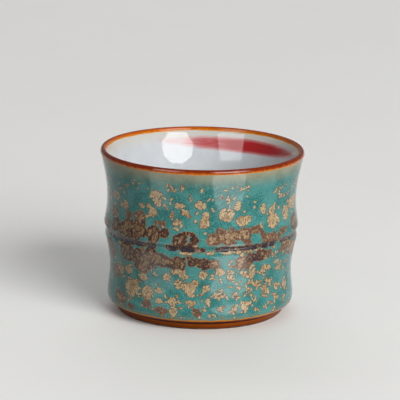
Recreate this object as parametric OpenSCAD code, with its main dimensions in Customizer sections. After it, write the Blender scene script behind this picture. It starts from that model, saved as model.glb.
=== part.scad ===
// Gongfu teacup with a bamboo-node wall: a thrown clay body and the coats fired onto it.
// Millimetres, +Z up. The origin is on the table, at the middle of the foot.

/* [Lip] */
// Outside diameter at the widest point of the lip
lip_d = 70; // [62:0.5:80]
// Thickness of the lip, coats included
lip_t = 1.8; // [1.4:0.1:3]
// Height of the rounding on the outside of the lip
lip_round_out = 1.3; // [0.8:0.1:2]
// Height of the rounding on the inside of the lip
lip_round_in = 0.9; // [0.7:0.1:1.1]
// Rise from the upper waist to the top of the lip
lip_rise = 17.2; // [10:0.1:24]
// Depth of the amber band outside, below the rounding
lip_band_out = 0.4; // [0.2:0.1:5]
// Depth of the amber band inside, below the rounding
lip_band_in = 0.4; // [0.2:0.1:3]

/* [Bamboo node] */
// Diameter over the upper ridge of the node
node_d = 67.1; // [60:0.1:74]
// How far the lower ridge is set in from the upper one
ridge_step = 0.4; // [0:0.05:1]
// Depth of the crease, from the lower ridge
crease_depth = 0.6; // [0.35:0.05:1.2]
// Height from the crease to the upper ridge
upper_ridge_h = 1.9; // [1.2:0.1:4]
// Height from the lower ridge to the crease
lower_ridge_h = 2.2; // [1.2:0.1:4]
// Depth of the iron line that fills the bottom of the crease
line_fill = 0.25; // [0.1:0.05:0.3]

/* [Wall] */
// Diameter of the waist above the node
upper_waist_d = 65; // [58:0.1:72]
// Diameter of the waist below the node
lower_waist_d = 62.8; // [56:0.1:70]
// Height from the crease to the upper waist
upper_waist_h = 10.6; // [7:0.1:18]
// Height from the lower waist to the crease
lower_flare_h = 13.8; // [8:0.1:18]
// Height from the belly to the lower waist
belly_rise = 9.4; // [5:0.1:15]
// How far the belly stands out from the lower waist
belly_out = 0.7; // [0.2:0.05:2]
// Height from the hem to the belly
belly_h = 2.3; // [1.8:0.1:5]
// How far the wall tucks in from the belly to the hem
hem_tuck = 1.05; // [0.4:0.05:2]
// Height of the amber edge above the hem
hem_band = 0.6; // [0.3:0.1:2]
// Wall at its thinnest, coats included
wall_t = 3.6; // [1.6:0.1:4]

/* [Bowl] */
// Floor from the ceiling of the recess to the bottom of the bowl
floor_t = 4; // [2.5:0.1:6]
// Rounding between the floor and the wall of the bowl
bowl_fillet = 14; // [6:0.5:20]
// How far below the upper waist the inside starts to spread towards the lip
bowl_spread_drop = 2.5; // [0:0.1:6]

/* [Foot] */
// Height of the hem above the table
foot_h = 3.4; // [2:0.1:6]
// How far the foot is set in from the hem
foot_inset = 1.85; // [1:0.05:6]
// How far the foot narrows on its way down
foot_taper = 1; // [0:0.1:3]
// Drop of the underside on its way in from the hem to the foot
undercut_drop = 0.8; // [0.2:0.1:1.2]
// Width of the ring that stands on the table
foot_ring_w = 4; // [2:0.1:8]
// Height of the recess inside the foot ring
recess_h = 2; // [1:0.1:3.5]
// How far the recess narrows on its way up
recess_taper = 0.6; // [0:0.1:1.5]
// Bare clay left on the foot above the table
wash_gap = 0.4; // [0.2:0.1:1]

/* [Coats] */
// Thickness of the outer glaze and of the hem
outer_coat = 0.5; // [0.3:0.05:0.6]
// Thickness of the white liner
inner_coat = 0.4; // [0.2:0.05:0.6]
// Thickness of the amber glaze on top of the lip
lip_coat = 0.4; // [0.2:0.05:0.6]
// Thickness of the brown wash on the foot
wash_t = 0.3; // [0.1:0.05:0.5]
// Thickness of the glaze in the recess
base_coat = 0.4; // [0.2:0.05:0.8]

/* [Brush stroke] */
// Bare liner between the amber band and the stroke
stroke_gap = 2.2; // [0.3:0.1:4]
// Height of the stroke at its fullest
stroke_w = 3.8; // [2:0.1:7]
// Direction of the fullest part of the stroke, counted from +X
stroke_dir = 62; // [0:1:359]
// Angle from the fullest part of the stroke to each tip
stroke_half = 55; // [20:1:80]

/* [Hidden] */
$fn = 128;
// Straight lengths that stand for one curve of an outline
curve_steps = 6;

// Heights, from the table up
hem_z = foot_h;
hem_band_z = hem_z + hem_band;
belly_z = hem_z + belly_h;
lower_waist_z = belly_z + belly_rise;
crease_z = lower_waist_z + lower_flare_h;
lower_ridge_z = crease_z - lower_ridge_h;
upper_ridge_z = crease_z + upper_ridge_h;
upper_waist_z = crease_z + upper_waist_h;
cup_h = upper_waist_z + lip_rise;
lip_wide_z = cup_h - lip_round_out;
lip_in_z = cup_h - lip_round_in;
lip_band_out_z = lip_wide_z - lip_band_out;
lip_band_in_z = lip_in_z - lip_band_in;
floor_z = recess_h + floor_t;
fillet_z = floor_z + bowl_fillet;
bowl_spread_z = upper_waist_z - bowl_spread_drop;
foot_top_z = foot_h - undercut_drop;
stroke_top_z = lip_band_in_z - stroke_gap;
stroke_low_z = stroke_top_z - stroke_w;

// Radii of the glazed outside
lip_r = lip_d / 2;
upper_waist_r = upper_waist_d / 2;
upper_ridge_r = node_d / 2;
lower_ridge_r = upper_ridge_r - ridge_step;
crease_r = lower_ridge_r - crease_depth;
lower_waist_r = lower_waist_d / 2;
belly_r = lower_waist_r + belly_out;
hem_r = belly_r - hem_tuck;

// Radii of the glazed inside, clear of the narrowest place outside
lip_mid_r = lip_r - lip_t / 2;
lip_in_r = lip_r - lip_t;
bowl_r = min(upper_waist_r, crease_r, lower_waist_r) - wall_t;

// Radii of the bare foot
foot_top_r = hem_r - foot_inset;
foot_r = foot_top_r - foot_taper;
foot_in_r = foot_r - foot_ring_w;
recess_r = foot_in_r - recess_taper;

// Heights at which the outside leaves the iron line in the crease
line_low_z = lower_ridge_z + lower_ridge_h * acos(line_fill / crease_depth) / 90;
line_high_z = crease_z + upper_ridge_h * asin(line_fill / (upper_ridge_r - crease_r)) / 90;

// Ways from 0 to 1: flat at the start, flat at the end, flat at both, and ever steeper
function flare(t) = 1 - cos(90 * t);
function swell(t) = sin(90 * t);
function ease(t) = (1 - cos(180 * t)) / 2;
function spread(t) = t * t;

// How far along from a to b a height z lies, and the value that far between u and v
function share(z, a, b) = (z - a) / (b - a);
function between(u, v, t) = u + (v - u) * t;

// Even steps from a up to, but not with, b
function steps(a, b) = [for (i = [0 : curve_steps - 1]) between(a, b, i / curve_steps)];
function reversed(points) = [for (i = [len(points) - 1 : -1 : 0]) points[i]];

// Radius of the glazed outside at a height: a quarter ellipse up from the hem, an ease in to
// the lower waist, a flare to the lower ridge, a crease between two round ridges, and the same
// kind of flare from the upper waist down to its ridge and up to the lip
function wall_r(z) =
    z < belly_z ? hem_r + hem_tuck * sqrt(max(0, 1 - pow(share(z, belly_z, hem_z), 2)))
    : z < lower_waist_z ? between(belly_r, lower_waist_r, ease(share(z, belly_z, lower_waist_z)))
    : z < lower_ridge_z
        ? between(lower_waist_r, lower_ridge_r, flare(share(z, lower_waist_z, lower_ridge_z)))
    : z < crease_z ? between(lower_ridge_r, crease_r, flare(share(z, lower_ridge_z, crease_z)))
    : z < upper_ridge_z
        ? between(crease_r, upper_ridge_r, swell(share(z, crease_z, upper_ridge_z)))
    : z < upper_waist_z
        ? between(upper_waist_r, upper_ridge_r, flare(share(z, upper_waist_z, upper_ridge_z)))
    : between(upper_waist_r, lip_r, flare(share(z, upper_waist_z, lip_wide_z)));

// Heights of the points on the outside, with one where each curve and each coat ends
wall_levels = concat(
    steps(hem_z, hem_band_z),
    steps(hem_band_z, belly_z),
    steps(belly_z, lower_waist_z),
    steps(lower_waist_z, lower_ridge_z),
    steps(lower_ridge_z, line_low_z),
    [line_low_z, crease_z],
    steps(line_high_z, upper_ridge_z),
    steps(upper_ridge_z, upper_waist_z),
    steps(upper_waist_z, lip_band_out_z),
    steps(lip_band_out_z, lip_wide_z),
    [lip_wide_z]);

// Line up the outside between two of those heights, set in by a coat
function wall_line(low_z, high_z, coat) =
    [for (z = wall_levels) if (z >= low_z && z <= high_z) [wall_r(z) - coat, z]];

// Line over the lip from outside to inside: two quarter ellipses, set in by the coats
function lip_line(out_coat, top_coat, in_coat) = concat(
    [for (i = [1 : curve_steps]) let (t = i / curve_steps)
        [lip_mid_r + (lip_t / 2 - out_coat) * cos(90 * t),
         lip_wide_z + (lip_round_out - top_coat) * swell(t)]],
    [for (i = [1 : curve_steps]) let (t = i / curve_steps)
        [lip_mid_r - (lip_t / 2 - in_coat) * swell(t),
         lip_in_z + (lip_round_in - top_coat) * cos(90 * t)]]);

// Radius of the glazed inside at a height: upright, then it spreads out to the lip
function bowl_wall_r(z) = between(bowl_r, lip_in_r, spread(share(z, bowl_spread_z, lip_in_z)));

// Heights of the points inside, from where it starts to spread to just under the lip
bowl_levels = concat(steps(bowl_spread_z, lip_band_in_z), steps(lip_band_in_z, lip_in_z));

// Line up the inside between two of those heights, set back by a coat
function bowl_line(low_z, high_z, coat) =
    [for (z = bowl_levels) if (z >= low_z && z <= high_z) [bowl_wall_r(z) + coat, z]];

// Line along the floor from the middle out and round the fillet, set back by a coat
function floor_line(coat) = concat(
    [[0, floor_z - coat]],
    [for (i = [0 : curve_steps]) let (t = i / curve_steps)
        [bowl_r - bowl_fillet + (bowl_fillet + coat) * swell(t),
         fillet_z - (bowl_fillet + coat) * cos(90 * t)]]);

// Radius of the bare foot, and of the recess inside it, at a height
function foot_side_r(z) = between(foot_r, foot_top_r, share(z, 0, foot_top_z));
function recess_side_r(z) = between(foot_in_r, recess_r, share(z, 0, recess_h));

// Ring between a coat's own face and the face that carries it
module coat_ring(face, back) {
    rotate_extrude() polygon(concat(face, reversed(back)));
}

// White liner before the stroke is inlaid
module liner() {
    coat_ring(
        concat(floor_line(0), bowl_line(bowl_spread_z, lip_band_in_z, 0)),
        concat(floor_line(inner_coat), bowl_line(bowl_spread_z, lip_band_in_z, inner_coat)));
}

// Wedge between a level plane and a tilted one, which cuts a crescent out of the liner
module stroke_wedge() {
    mid_r = bowl_wall_r(stroke_low_z);
    tilt = atan(stroke_w / (mid_r * (1 - cos(stroke_half))));
    rotate(stroke_dir) intersection() {
        translate([0, -lip_r, stroke_low_z - stroke_w])
            cube([lip_r, lip_d, 2 * stroke_w]);
        translate([mid_r, 0, stroke_low_z]) rotate([0, tilt, 0]) translate([-lip_d, -lip_d, 0])
            cube([2 * lip_d, 2 * lip_d, lip_d]);
    }
}

module clay_body() {
    color("#8a6748") rotate_extrude() polygon(concat(
        [[0, recess_h], [recess_r, recess_h], [foot_in_r, 0], [foot_r, 0],
         [foot_top_r, foot_top_z]],
        wall_line(hem_z, lip_wide_z, outer_coat),
        lip_line(outer_coat, lip_coat, inner_coat),
        reversed(bowl_line(bowl_spread_z, lip_in_z, inner_coat)),
        reversed(floor_line(inner_coat))));
}

module outer_glaze() {
    color("#40867e") coat_ring(
        wall_line(hem_band_z, lip_band_out_z, 0),
        wall_line(hem_band_z, lip_band_out_z, outer_coat));
}

module node_line() {
    color("#2d2632") rotate_extrude() polygon(wall_line(line_low_z, line_high_z, 0));
}

module lip_glaze() {
    color("#a84a10") coat_ring(
        concat(
            wall_line(lip_band_out_z, lip_wide_z, 0),
            lip_line(0, 0, 0),
            reversed(bowl_line(lip_band_in_z, lip_in_z, 0))),
        concat(
            wall_line(lip_band_out_z, lip_wide_z, outer_coat),
            lip_line(outer_coat, lip_coat, inner_coat),
            reversed(bowl_line(lip_band_in_z, lip_in_z, inner_coat))));
}

module hem_glaze() {
    color("#a47028") coat_ring(
        wall_line(hem_z, hem_band_z, 0),
        wall_line(hem_z, hem_band_z, outer_coat));
}

module foot_wash() {
    wash_top_z = between(foot_top_z, hem_z, wash_t / (hem_r - outer_coat - foot_top_r));
    color("#6e3408") coat_ring(
        [[foot_side_r(wash_gap) + wash_t, wash_gap], [foot_top_r + wash_t, wash_top_z]],
        [[foot_side_r(wash_gap), wash_gap], [foot_top_r, foot_top_z]]);
}

module inner_glaze() {
    color("#dfe2e4") difference() {
        liner();
        stroke_wedge();
    }
}

module brush_stroke() {
    color("#982424") intersection() {
        liner();
        stroke_wedge();
    }
}

module base_glaze() {
    under_z = recess_h - base_coat;
    color("#b9a98c") rotate_extrude() polygon(
        [[0, under_z], [recess_side_r(under_z), under_z], [recess_r, recess_h], [0, recess_h]]);
}

clay_body();
outer_glaze();
node_line();
lip_glaze();
hem_glaze();
foot_wash();
inner_glaze();
brush_stroke();
base_glaze();
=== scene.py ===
"""A gongfu teacup with a bamboo-node wall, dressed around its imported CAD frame.

The clay and the coats fired onto it are closed surfaces worked out with numpy: an outline is
carried round the axis of the cup, and the outline may change with the bearing. Lengths are in
millimetres. A bearing is an angle round the cup, 0 towards the viewer and growing towards +X.
Meshes go into metres when they are made.
"""

from __future__ import annotations

import logging
import math
from dataclasses import dataclass, field
from enum import Enum
from typing import Any, Mapping, Optional, Union

import bpy
import numpy as np
from mathutils import Color, Matrix, Vector


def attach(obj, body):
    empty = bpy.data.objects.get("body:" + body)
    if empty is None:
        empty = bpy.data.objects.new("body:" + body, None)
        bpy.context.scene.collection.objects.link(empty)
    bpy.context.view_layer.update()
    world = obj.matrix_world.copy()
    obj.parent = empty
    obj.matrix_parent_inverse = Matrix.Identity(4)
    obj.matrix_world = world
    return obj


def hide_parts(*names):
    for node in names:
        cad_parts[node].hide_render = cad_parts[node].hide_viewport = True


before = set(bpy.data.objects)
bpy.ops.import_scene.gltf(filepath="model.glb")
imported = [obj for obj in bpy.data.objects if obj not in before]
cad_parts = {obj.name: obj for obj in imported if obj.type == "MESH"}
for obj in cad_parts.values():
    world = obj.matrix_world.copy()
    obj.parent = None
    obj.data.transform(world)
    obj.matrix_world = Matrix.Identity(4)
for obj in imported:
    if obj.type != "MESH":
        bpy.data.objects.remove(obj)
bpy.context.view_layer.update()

LOG = logging.getLogger("teacup")
Array = np.ndarray
Colour = tuple[float, float, float]
Range = tuple[float, float]
Stretch = tuple[float, float, float]

MM = 0.001
FULL_TURN = 2.0 * math.pi
HALF_TURN = math.pi
QUARTER_TURN = 0.5 * math.pi
CIRCLE = 360.0
HALF_CIRCLE = 180.0
UP = Vector((0.0, 0.0, 1.0))
BODY = "root"
PICTURE_SIDE = 400
SCREEN_WHITE = 255
NOISE_MIDDLE = 0.5
NO_STRETCH = (1.0, 1.0, 1.0)
# Where a surface is fanned shut by the axis, and how finely radii and levels are told apart
AXIS_HOLE = 0.25
TOUCH = 0.002
LEVEL_DIGITS = 3
# How many spreads a bell curve reaches out, short steps to each softness, and its spread in steps
BELL_REACH = 3.0
STEPS_TO_SOFTNESS = 4.0
SOFT_STEPS = 2.7


def seen(red: int, green: int, blue: int) -> Colour:
    """Turns a colour as a screen shows it, 0 to 255 a channel, into linear light."""
    shown = Color((red / SCREEN_WHITE, green / SCREEN_WHITE, blue / SCREEN_WHITE))
    return tuple(shown.from_srgb_to_scene_linear())


def smooth_step(value: Array, low: float, high: float) -> Array:
    """Rises from 0 at low to 1 at high, level at both ends."""
    share = np.clip((value - low) / (high - low), 0.0, 1.0)
    return share * share * (3.0 - 2.0 * share)


def arch(share: Array) -> Array:
    """A parabola over 0 to 1: 0 at both ends and 1 in the middle."""
    return 4.0 * share * (1.0 - share)


def up_from(low: float, share: Array) -> Array:
    """Goes from low, at a share of 0, up to 1, at a share of 1."""
    return low + (1.0 - low) * share


def repeated(line: Array, columns: int) -> Array:
    """Repeats a line of values for each of a number of columns."""
    return np.repeat(np.reshape(line, (-1, 1)), columns, axis=1)


@dataclass(frozen=True)
class Ripple:
    """Cosines that fit whole numbers of times round the cup, so that their sum closes."""

    amount: float
    waves: tuple[int, ...]
    seed: int

    def at(self, bearing: Array) -> Array:
        """Adds the cosines, each from a start of its own.

        Args:
            bearing: Bearings in radians.

        Returns:
            The ripple at each bearing, about minus to plus the amount.
        """
        starts = np.random.default_rng(self.seed).uniform(0.0, FULL_TURN, len(self.waves))
        total = np.cos(np.multiply.outer(bearing, self.waves) + starts).sum(axis=-1)
        return self.amount * (total / math.sqrt(len(self.waves)))


def softened(line: Array, spread: float) -> Array:
    """Averages each column of a line over its neighbours by a bell curve, with its ends kept.

    Args:
        line: Values, shaped points by columns.
        spread: Spread of the bell curve, in points.

    Returns:
        The line with its corners rounded.
    """
    reach = math.ceil(BELL_REACH * spread)
    weights = np.exp(-0.5 * (np.arange(-reach, reach + 1) / spread) ** 2)
    before = 2.0 * line[0] - line[reach:0:-1]
    after = 2.0 * line[-1] - line[-2 : -reach - 2 : -1]
    padded = np.concatenate([before, line, after])
    columns = [np.convolve(column, weights / weights.sum(), "valid") for column in padded.T]
    return np.stack(columns, axis=-1)


# Shaders


class Signal:
    """A node's output that takes part in Python sums: each operator adds a Math node."""

    def __init__(self, shader: Shader, socket: bpy.types.NodeSocket) -> None:
        """Keeps the socket and the shader that it is in."""
        self.shader = shader
        self.socket = socket

    def _math(self, operation: str, *terms: Term) -> Signal:
        """Adds the Math node for an operation on these terms."""
        return self.shader.node("ShaderNodeMath", {"operation": operation}, dict(enumerate(terms)))

    def __add__(self, other: Term) -> Signal:
        """This plus the other."""
        return self._math("ADD", self, other)

    __radd__ = __add__

    def __sub__(self, other: Term) -> Signal:
        """This less the other."""
        return self._math("SUBTRACT", self, other)

    def __rsub__(self, other: Term) -> Signal:
        """The other less this."""
        return self._math("SUBTRACT", other, self)

    def __mul__(self, other: Term) -> Signal:
        """This times the other."""
        return self._math("MULTIPLY", self, other)

    __rmul__ = __mul__

    def at_least(self, other: Term) -> Signal:
        """The greater of this and the other."""
        return self._math("MAXIMUM", self, other)

    def mean(self, other: Term) -> Signal:
        """Half way between this and the other."""
        return (self + other) * 0.5

    def sway(self, amount: float) -> Signal:
        """Noise about its middle: 0 where this is one half, and times an amount."""
        return (self - NOISE_MIDDLE) * amount

    def wave(self, period: float) -> Signal:
        """Goes up and down between 0 and 1 once in each period of this."""
        return self._math("SINE", self * (FULL_TURN / period)) * 0.5 + 0.5

    def rise(self, low: float, high: float) -> Signal:
        """A smooth step, 0 where this is at low and 1 where it is at high, either way round."""
        settings = {"interpolation_type": "SMOOTHSTEP"}
        return self.shader.node("ShaderNodeMapRange", settings, {0: self, 1: low, 2: high})


Term = Union[Signal, float]
Tint = Union[Signal, Colour]


class Detail(Enum):
    """How many finer layers a noise has."""

    PLAIN = 1.0
    FAIR = 2.0
    RICH = 3.0
    FULL = 4.0


@dataclass(frozen=True)
class Noise:
    """Cloudy noise: about how far apart its light places are, its detail, and how it stretches.

    Each axis is scaled by its stretch before the noise is read.
    """

    size: float
    detail: Detail = Detail.FAIR
    stretch: Stretch = NO_STRETCH


class Shader:
    """The nodes of one material or of the world, made by short calls."""

    MIX_SHARE, MIX_FIRST, MIX_SECOND, MIX_RESULT = 0, 6, 7, 2

    def __init__(self, owner: bpy.types.ID) -> None:
        """Clears the owner's nodes to start afresh.

        Args:
            owner: The material or the world.
        """
        owner.use_nodes = True
        self.owner = owner
        self.tree = owner.node_tree
        self.tree.nodes.clear()

    @classmethod
    def named(cls, name: str) -> Shader:
        """Starts the shader of a new material."""
        return cls(bpy.data.materials.new(name))

    def node(
        self,
        kind: str,
        settings: Optional[Mapping[str, Any]] = None,
        inputs: Optional[Mapping[Union[int, str], Any]] = None,
        output: Union[int, str] = 0,
    ) -> Optional[Signal]:
        """Adds one node: its settings are set first, then its sockets are set or linked.

        Args:
            kind: The node's type.
            settings: Values of the node's own properties.
            inputs: Values, colours or signals for its sockets, by index or name.
            output: Index or name of the output to hand back.

        Returns:
            The output as a signal, or None where the node has none.
        """
        made = self.tree.nodes.new(kind)
        for name, value in (settings or {}).items():
            setattr(made, name, value)
        for key, value in (inputs or {}).items():
            socket = made.inputs[key]
            if isinstance(value, Signal):
                self.tree.links.new(value.socket, socket)
            elif socket.type == "RGBA" and len(value) == 3:
                socket.default_value = (*value, 1.0)
            else:
                socket.default_value = value
        return Signal(self, made.outputs[output]) if made.outputs else None

    def blend(self, share: Term, first: Tint, second: Tint) -> Signal:
        """Goes from the first colour to the second by a share of 0 to 1."""
        inputs = {self.MIX_SHARE: share, self.MIX_FIRST: first, self.MIX_SECOND: second}
        return self.node("ShaderNodeMix", {"data_type": "RGBA"}, inputs, self.MIX_RESULT)

    def place(self, stretch: Stretch = NO_STRETCH) -> Signal:
        """The point's place on the object in millimetres.

        Args:
            stretch: How much each axis is scaled.

        Returns:
            The place, as a vector.
        """
        point = self.node("ShaderNodeTexCoord", output="Object")
        scale = tuple(part / MM for part in stretch)
        return self.node("ShaderNodeVectorMath", {"operation": "MULTIPLY"}, {0: point, 1: scale})

    def height(self) -> Signal:
        """The point's height above the floor, in millimetres."""
        return self.node("ShaderNodeSeparateXYZ", inputs={0: self.place()}, output="Z")

    def noise(self, noise: Noise) -> Signal:
        """Reads a noise at the point's place.

        Args:
            noise: What the noise is like.

        Returns:
            The noise, 0 to 1 and about 0.5 in the middle.
        """
        inputs: dict[str, Any] = {"Vector": self.place(noise.stretch)}
        inputs.update({"Scale": 1.0 / noise.size, "Detail": noise.detail.value})
        return self.node("ShaderNodeTexNoise", inputs=inputs)

    def painted(self, name: str) -> Signal:
        """A value that the mesh carries at its vertices."""
        return self.node("ShaderNodeAttribute", {"attribute_name": name}, output="Fac")

    def surface(
        self,
        colour: Tint,
        roughness: Term,
        relief: Optional[Signal] = None,
        depth: float = 0.0,
        **fixed: float,
    ) -> bpy.types.Material:
        """Ends the material in a Principled surface.

        Args:
            colour: The base colour.
            roughness: How dull the gloss is.
            relief: Height of the fine relief, 0 to 1.
            depth: What a relief of 1 stands for, in millimetres.
            **fixed: Sockets that are the same all over, with _ for each space.

        Returns:
            The finished material.
        """
        inputs = {key.replace("_", " "): value for key, value in fixed.items()}
        inputs.update({"Base Color": colour, "Roughness": roughness})
        if relief is not None:
            bump = {"Height": relief, "Distance": depth * MM}
            inputs["Normal"] = self.node("ShaderNodeBump", inputs=bump)
        shaded = self.node("ShaderNodeBsdfPrincipled", inputs=inputs)
        self.node("ShaderNodeOutputMaterial", inputs={"Surface": shaded})
        return self.owner


# Meshes


class Wrap(Enum):
    """Which directions of a grid of points run round and meet themselves."""

    RING = "rows and columns"
    POLES = "columns"
    TUBE = "rows"


def closed_mesh(
    name: str, points: Array, wrap: Wrap, painted: Optional[Mapping[str, Array]] = None
) -> bpy.types.Object:
    """Weaves a grid of points into one closed surface that faces outwards.

    A quad joins each point to its neighbours in the next row and column. The grid meets itself in
    the directions that wrap, and each end that stays open is fanned shut from its middle. All
    faces are turned round where the volume that they enclose comes out negative.

    Args:
        name: Name of the object and of its mesh.
        points: Positions in millimetres, shaped rows by columns by three.
        wrap: Which directions run round.
        painted: Values for the vertices by name, shaped rows by columns.

    Returns:
        The new object, at the origin.
    """
    rows, columns = points.shape[:2]
    grid = np.arange(rows * columns).reshape(rows, columns)
    if wrap is not Wrap.POLES:
        grid = np.concatenate([grid, grid[:1]], axis=0)
    if wrap is not Wrap.TUBE:
        grid = np.concatenate([grid, grid[:, :1]], axis=1)
    corners = [grid[:-1, :-1], grid[:-1, 1:], grid[1:, 1:], grid[1:, :-1]]
    quads = np.stack(corners, axis=-1).reshape(-1, 4)
    ends: list[Array] = []
    if wrap is Wrap.POLES:
        ends = [grid[0, ::-1], grid[-1]]
    if wrap is Wrap.TUBE:
        ends = [grid[:, 0], grid[::-1, -1]]
    spots = [points.reshape(-1, 3)]
    fans = [np.zeros((0, 3), int)]
    for number, end in enumerate(ends):
        middle = np.full(len(end) - 1, rows * columns + number)
        fans.append(np.stack([end[:-1], end[1:], middle], axis=-1))
        spots.append(spots[0][end[:-1]].mean(axis=0, keepdims=True))
    place = np.concatenate(spots)
    threes = np.concatenate(fans)
    halves = np.concatenate([quads[:, :3], quads[:, [0, 2, 3]], threes])
    first, second, third = (place[halves[:, side]] for side in range(3))
    if np.einsum("ij,ij->", first, np.cross(second, third)) < 0.0:
        quads = quads[:, ::-1]
        threes = threes[:, ::-1]
    mesh = bpy.data.meshes.new(name)
    mesh.vertices.add(len(place))
    mesh.vertices.foreach_set("co", (place * MM).ravel())
    loops = np.concatenate([quads.ravel(), threes.ravel()])
    starts = np.concatenate([np.arange(len(quads)) * 4, quads.size + np.arange(len(threes)) * 3])
    mesh.loops.add(len(loops))
    mesh.loops.foreach_set("vertex_index", loops)
    mesh.polygons.add(len(starts))
    mesh.polygons.foreach_set("loop_start", starts)
    mesh.polygons.foreach_set("use_smooth", np.ones(len(starts), bool))
    mesh.update(calc_edges=True)
    mesh.validate()
    for key, values in (painted or {}).items():
        flat = values.reshape(-1)
        middles = [[flat[end[:-1]].mean()] for end in ends]
        layer = mesh.attributes.new(key, "FLOAT", "POINT")
        layer.data.foreach_set("value", np.concatenate([flat, *middles]).astype(np.float32))
    made = bpy.data.objects.new(name, mesh)
    bpy.context.scene.collection.objects.link(made)
    return made


@dataclass(frozen=True)
class HandThrown:
    """How far the thrown wall strays from round: slow waves that grow up from the foot."""

    first: Ripple = Ripple(0.045, (2, 3, 5), 4)
    second: Ripple = Ripple(0.045, (2, 3, 5), 5)
    pitch: float = 14.0
    grows: Range = (3.0, 20.0)
    fades: Range = (12.0, 27.0)

    def stray(self, bearing: Array, radius: Array, height: Array) -> Array:
        """Two ripples that swap places with height, faded out low down and towards the axis.

        Args:
            bearing: Bearings of the points.
            radius: Their radii.
            height: Their heights.

        Returns:
            How far each point moves outwards.
        """
        turn = height / self.pitch
        sway = self.first.at(bearing) * np.cos(turn) + self.second.at(bearing) * np.sin(turn)
        return sway * smooth_step(height, *self.grows) * smooth_step(radius, *self.fades)


HAND = HandThrown()


def around(count: int) -> Array:
    """Even bearings for one turn, with the seam at the back."""
    return np.linspace(-HALF_TURN, HALF_TURN, count, endpoint=False)


def carried_round(radius: Array, height: Array, bearing: Array) -> Array:
    """Carries an outline round the axis.

    The point of the outline at radius r and height z goes to (r sin b, -r cos b, z) at bearing b,
    once r has strayed as the thrown wall does.

    Args:
        radius: Radii of the outline, shaped rows, or rows by columns where they change.
        height: Heights of the outline, shaped in the same way.
        bearing: Bearings of the columns.

    Returns:
        Positions, shaped rows by columns by three.
    """
    shape = (len(radius), len(bearing))
    wide = np.broadcast_to(radius if radius.ndim == 2 else radius[:, None], shape)
    high = np.broadcast_to(height if height.ndim == 2 else height[:, None], shape)
    wide = wide + HAND.stray(bearing[None, :], wide, high)
    return np.stack([wide * np.sin(bearing), -wide * np.cos(bearing), high], axis=-1)


def paced(outline: Array, rows: int, softness: float, turn_weight: float = 3.0) -> Array:
    """Rounds the corners of an outline and sets its points close together where it turns.

    The outline is cut into even short steps and softened, and the new points are spaced evenly
    along the sum of the length and of the angle turned.

    Args:
        outline: Corner points as radius and height, shaped points by two.
        rows: Number of points to give back.
        softness: About how far from a corner the rounding starts.
        turn_weight: Length that one radian of turning counts for.

    Returns:
        The new outline, shaped rows by two, with its two ends kept.
    """
    gaps = np.hypot(*np.diff(outline, axis=0).T)
    length = np.concatenate([[0.0], np.cumsum(gaps)])
    even = np.linspace(0.0, length[-1], int(STEPS_TO_SOFTNESS * length[-1] / softness))
    fine = np.stack([np.interp(even, length, part) for part in outline.T], axis=-1)
    soft = softened(fine, SOFT_STEPS)
    moves = np.diff(soft, axis=0)
    heading = np.unwrap(np.arctan2(moves[:, 1], moves[:, 0]))
    turned = np.concatenate([[0.0], np.abs(np.diff(heading)), [0.0]])
    pace = np.cumsum(turned) * turn_weight
    pace += np.concatenate([[0.0], np.cumsum(np.hypot(*moves.T))])
    marks = np.linspace(pace[0], pace[-1], rows)
    return np.stack([np.interp(marks, pace, part) for part in soft.T], axis=-1)


# What the frame says


@dataclass(frozen=True)
class TurnedNode:
    """The levels of a turned CAD node, with the largest and the least radius found at each."""

    levels: Array
    widest: Array
    narrowest: Array

    @classmethod
    def read(cls, name: str) -> TurnedNode:
        """Groups the vertices of a CAD node by height.

        Args:
            name: Name of the node.

        Returns:
            Its levels and radii, in millimetres.
        """
        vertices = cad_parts[name].data.vertices
        flat = np.empty(len(vertices) * 3, np.float32)
        vertices.foreach_get("co", flat)
        x, y, z = flat.astype(float).reshape(-1, 3).T / MM
        levels, group = np.unique(np.round(z, LEVEL_DIGITS), return_inverse=True)
        radii = np.hypot(x, y)
        widest = np.zeros(len(levels))
        narrowest = np.full(len(levels), np.inf)
        np.maximum.at(widest, group, radii)
        np.minimum.at(narrowest, group, radii)
        return cls(levels, widest, narrowest)


@dataclass(frozen=True)
class WallLine:
    """The glazed outside of the cup: its radius at each height from the hem to the lip."""

    height: Array
    radius: Array

    @classmethod
    def measured(cls, softness: float = 0.4, step: float = 0.05) -> WallLine:
        """Joins the outsides of the hem, the coat and the lip, and rounds their corners.

        Args:
            softness: Spread of the average that rounds the corners.
            step: Height between the points that are kept.

        Returns:
            The line up to the widest point of the lip.
        """
        nodes = [TurnedNode.read(name) for name in ("hem_glaze", "outer_glaze", "lip_glaze")]
        levels = np.concatenate([node.levels for node in nodes])
        radii = np.concatenate([node.widest for node in nodes])
        order = np.lexsort((radii, levels))
        levels, radii = levels[order], radii[order]
        wide = levels[np.argmax(radii)]
        even = np.arange(levels[0], wide + step / 2, step)
        line = np.interp(even, levels, radii)
        return cls(even, softened(line[:, None], softness / step)[:, 0])

    def at(self, height: Array) -> Array:
        """The radius at these heights."""
        return np.interp(height, self.height, self.radius)


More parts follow.
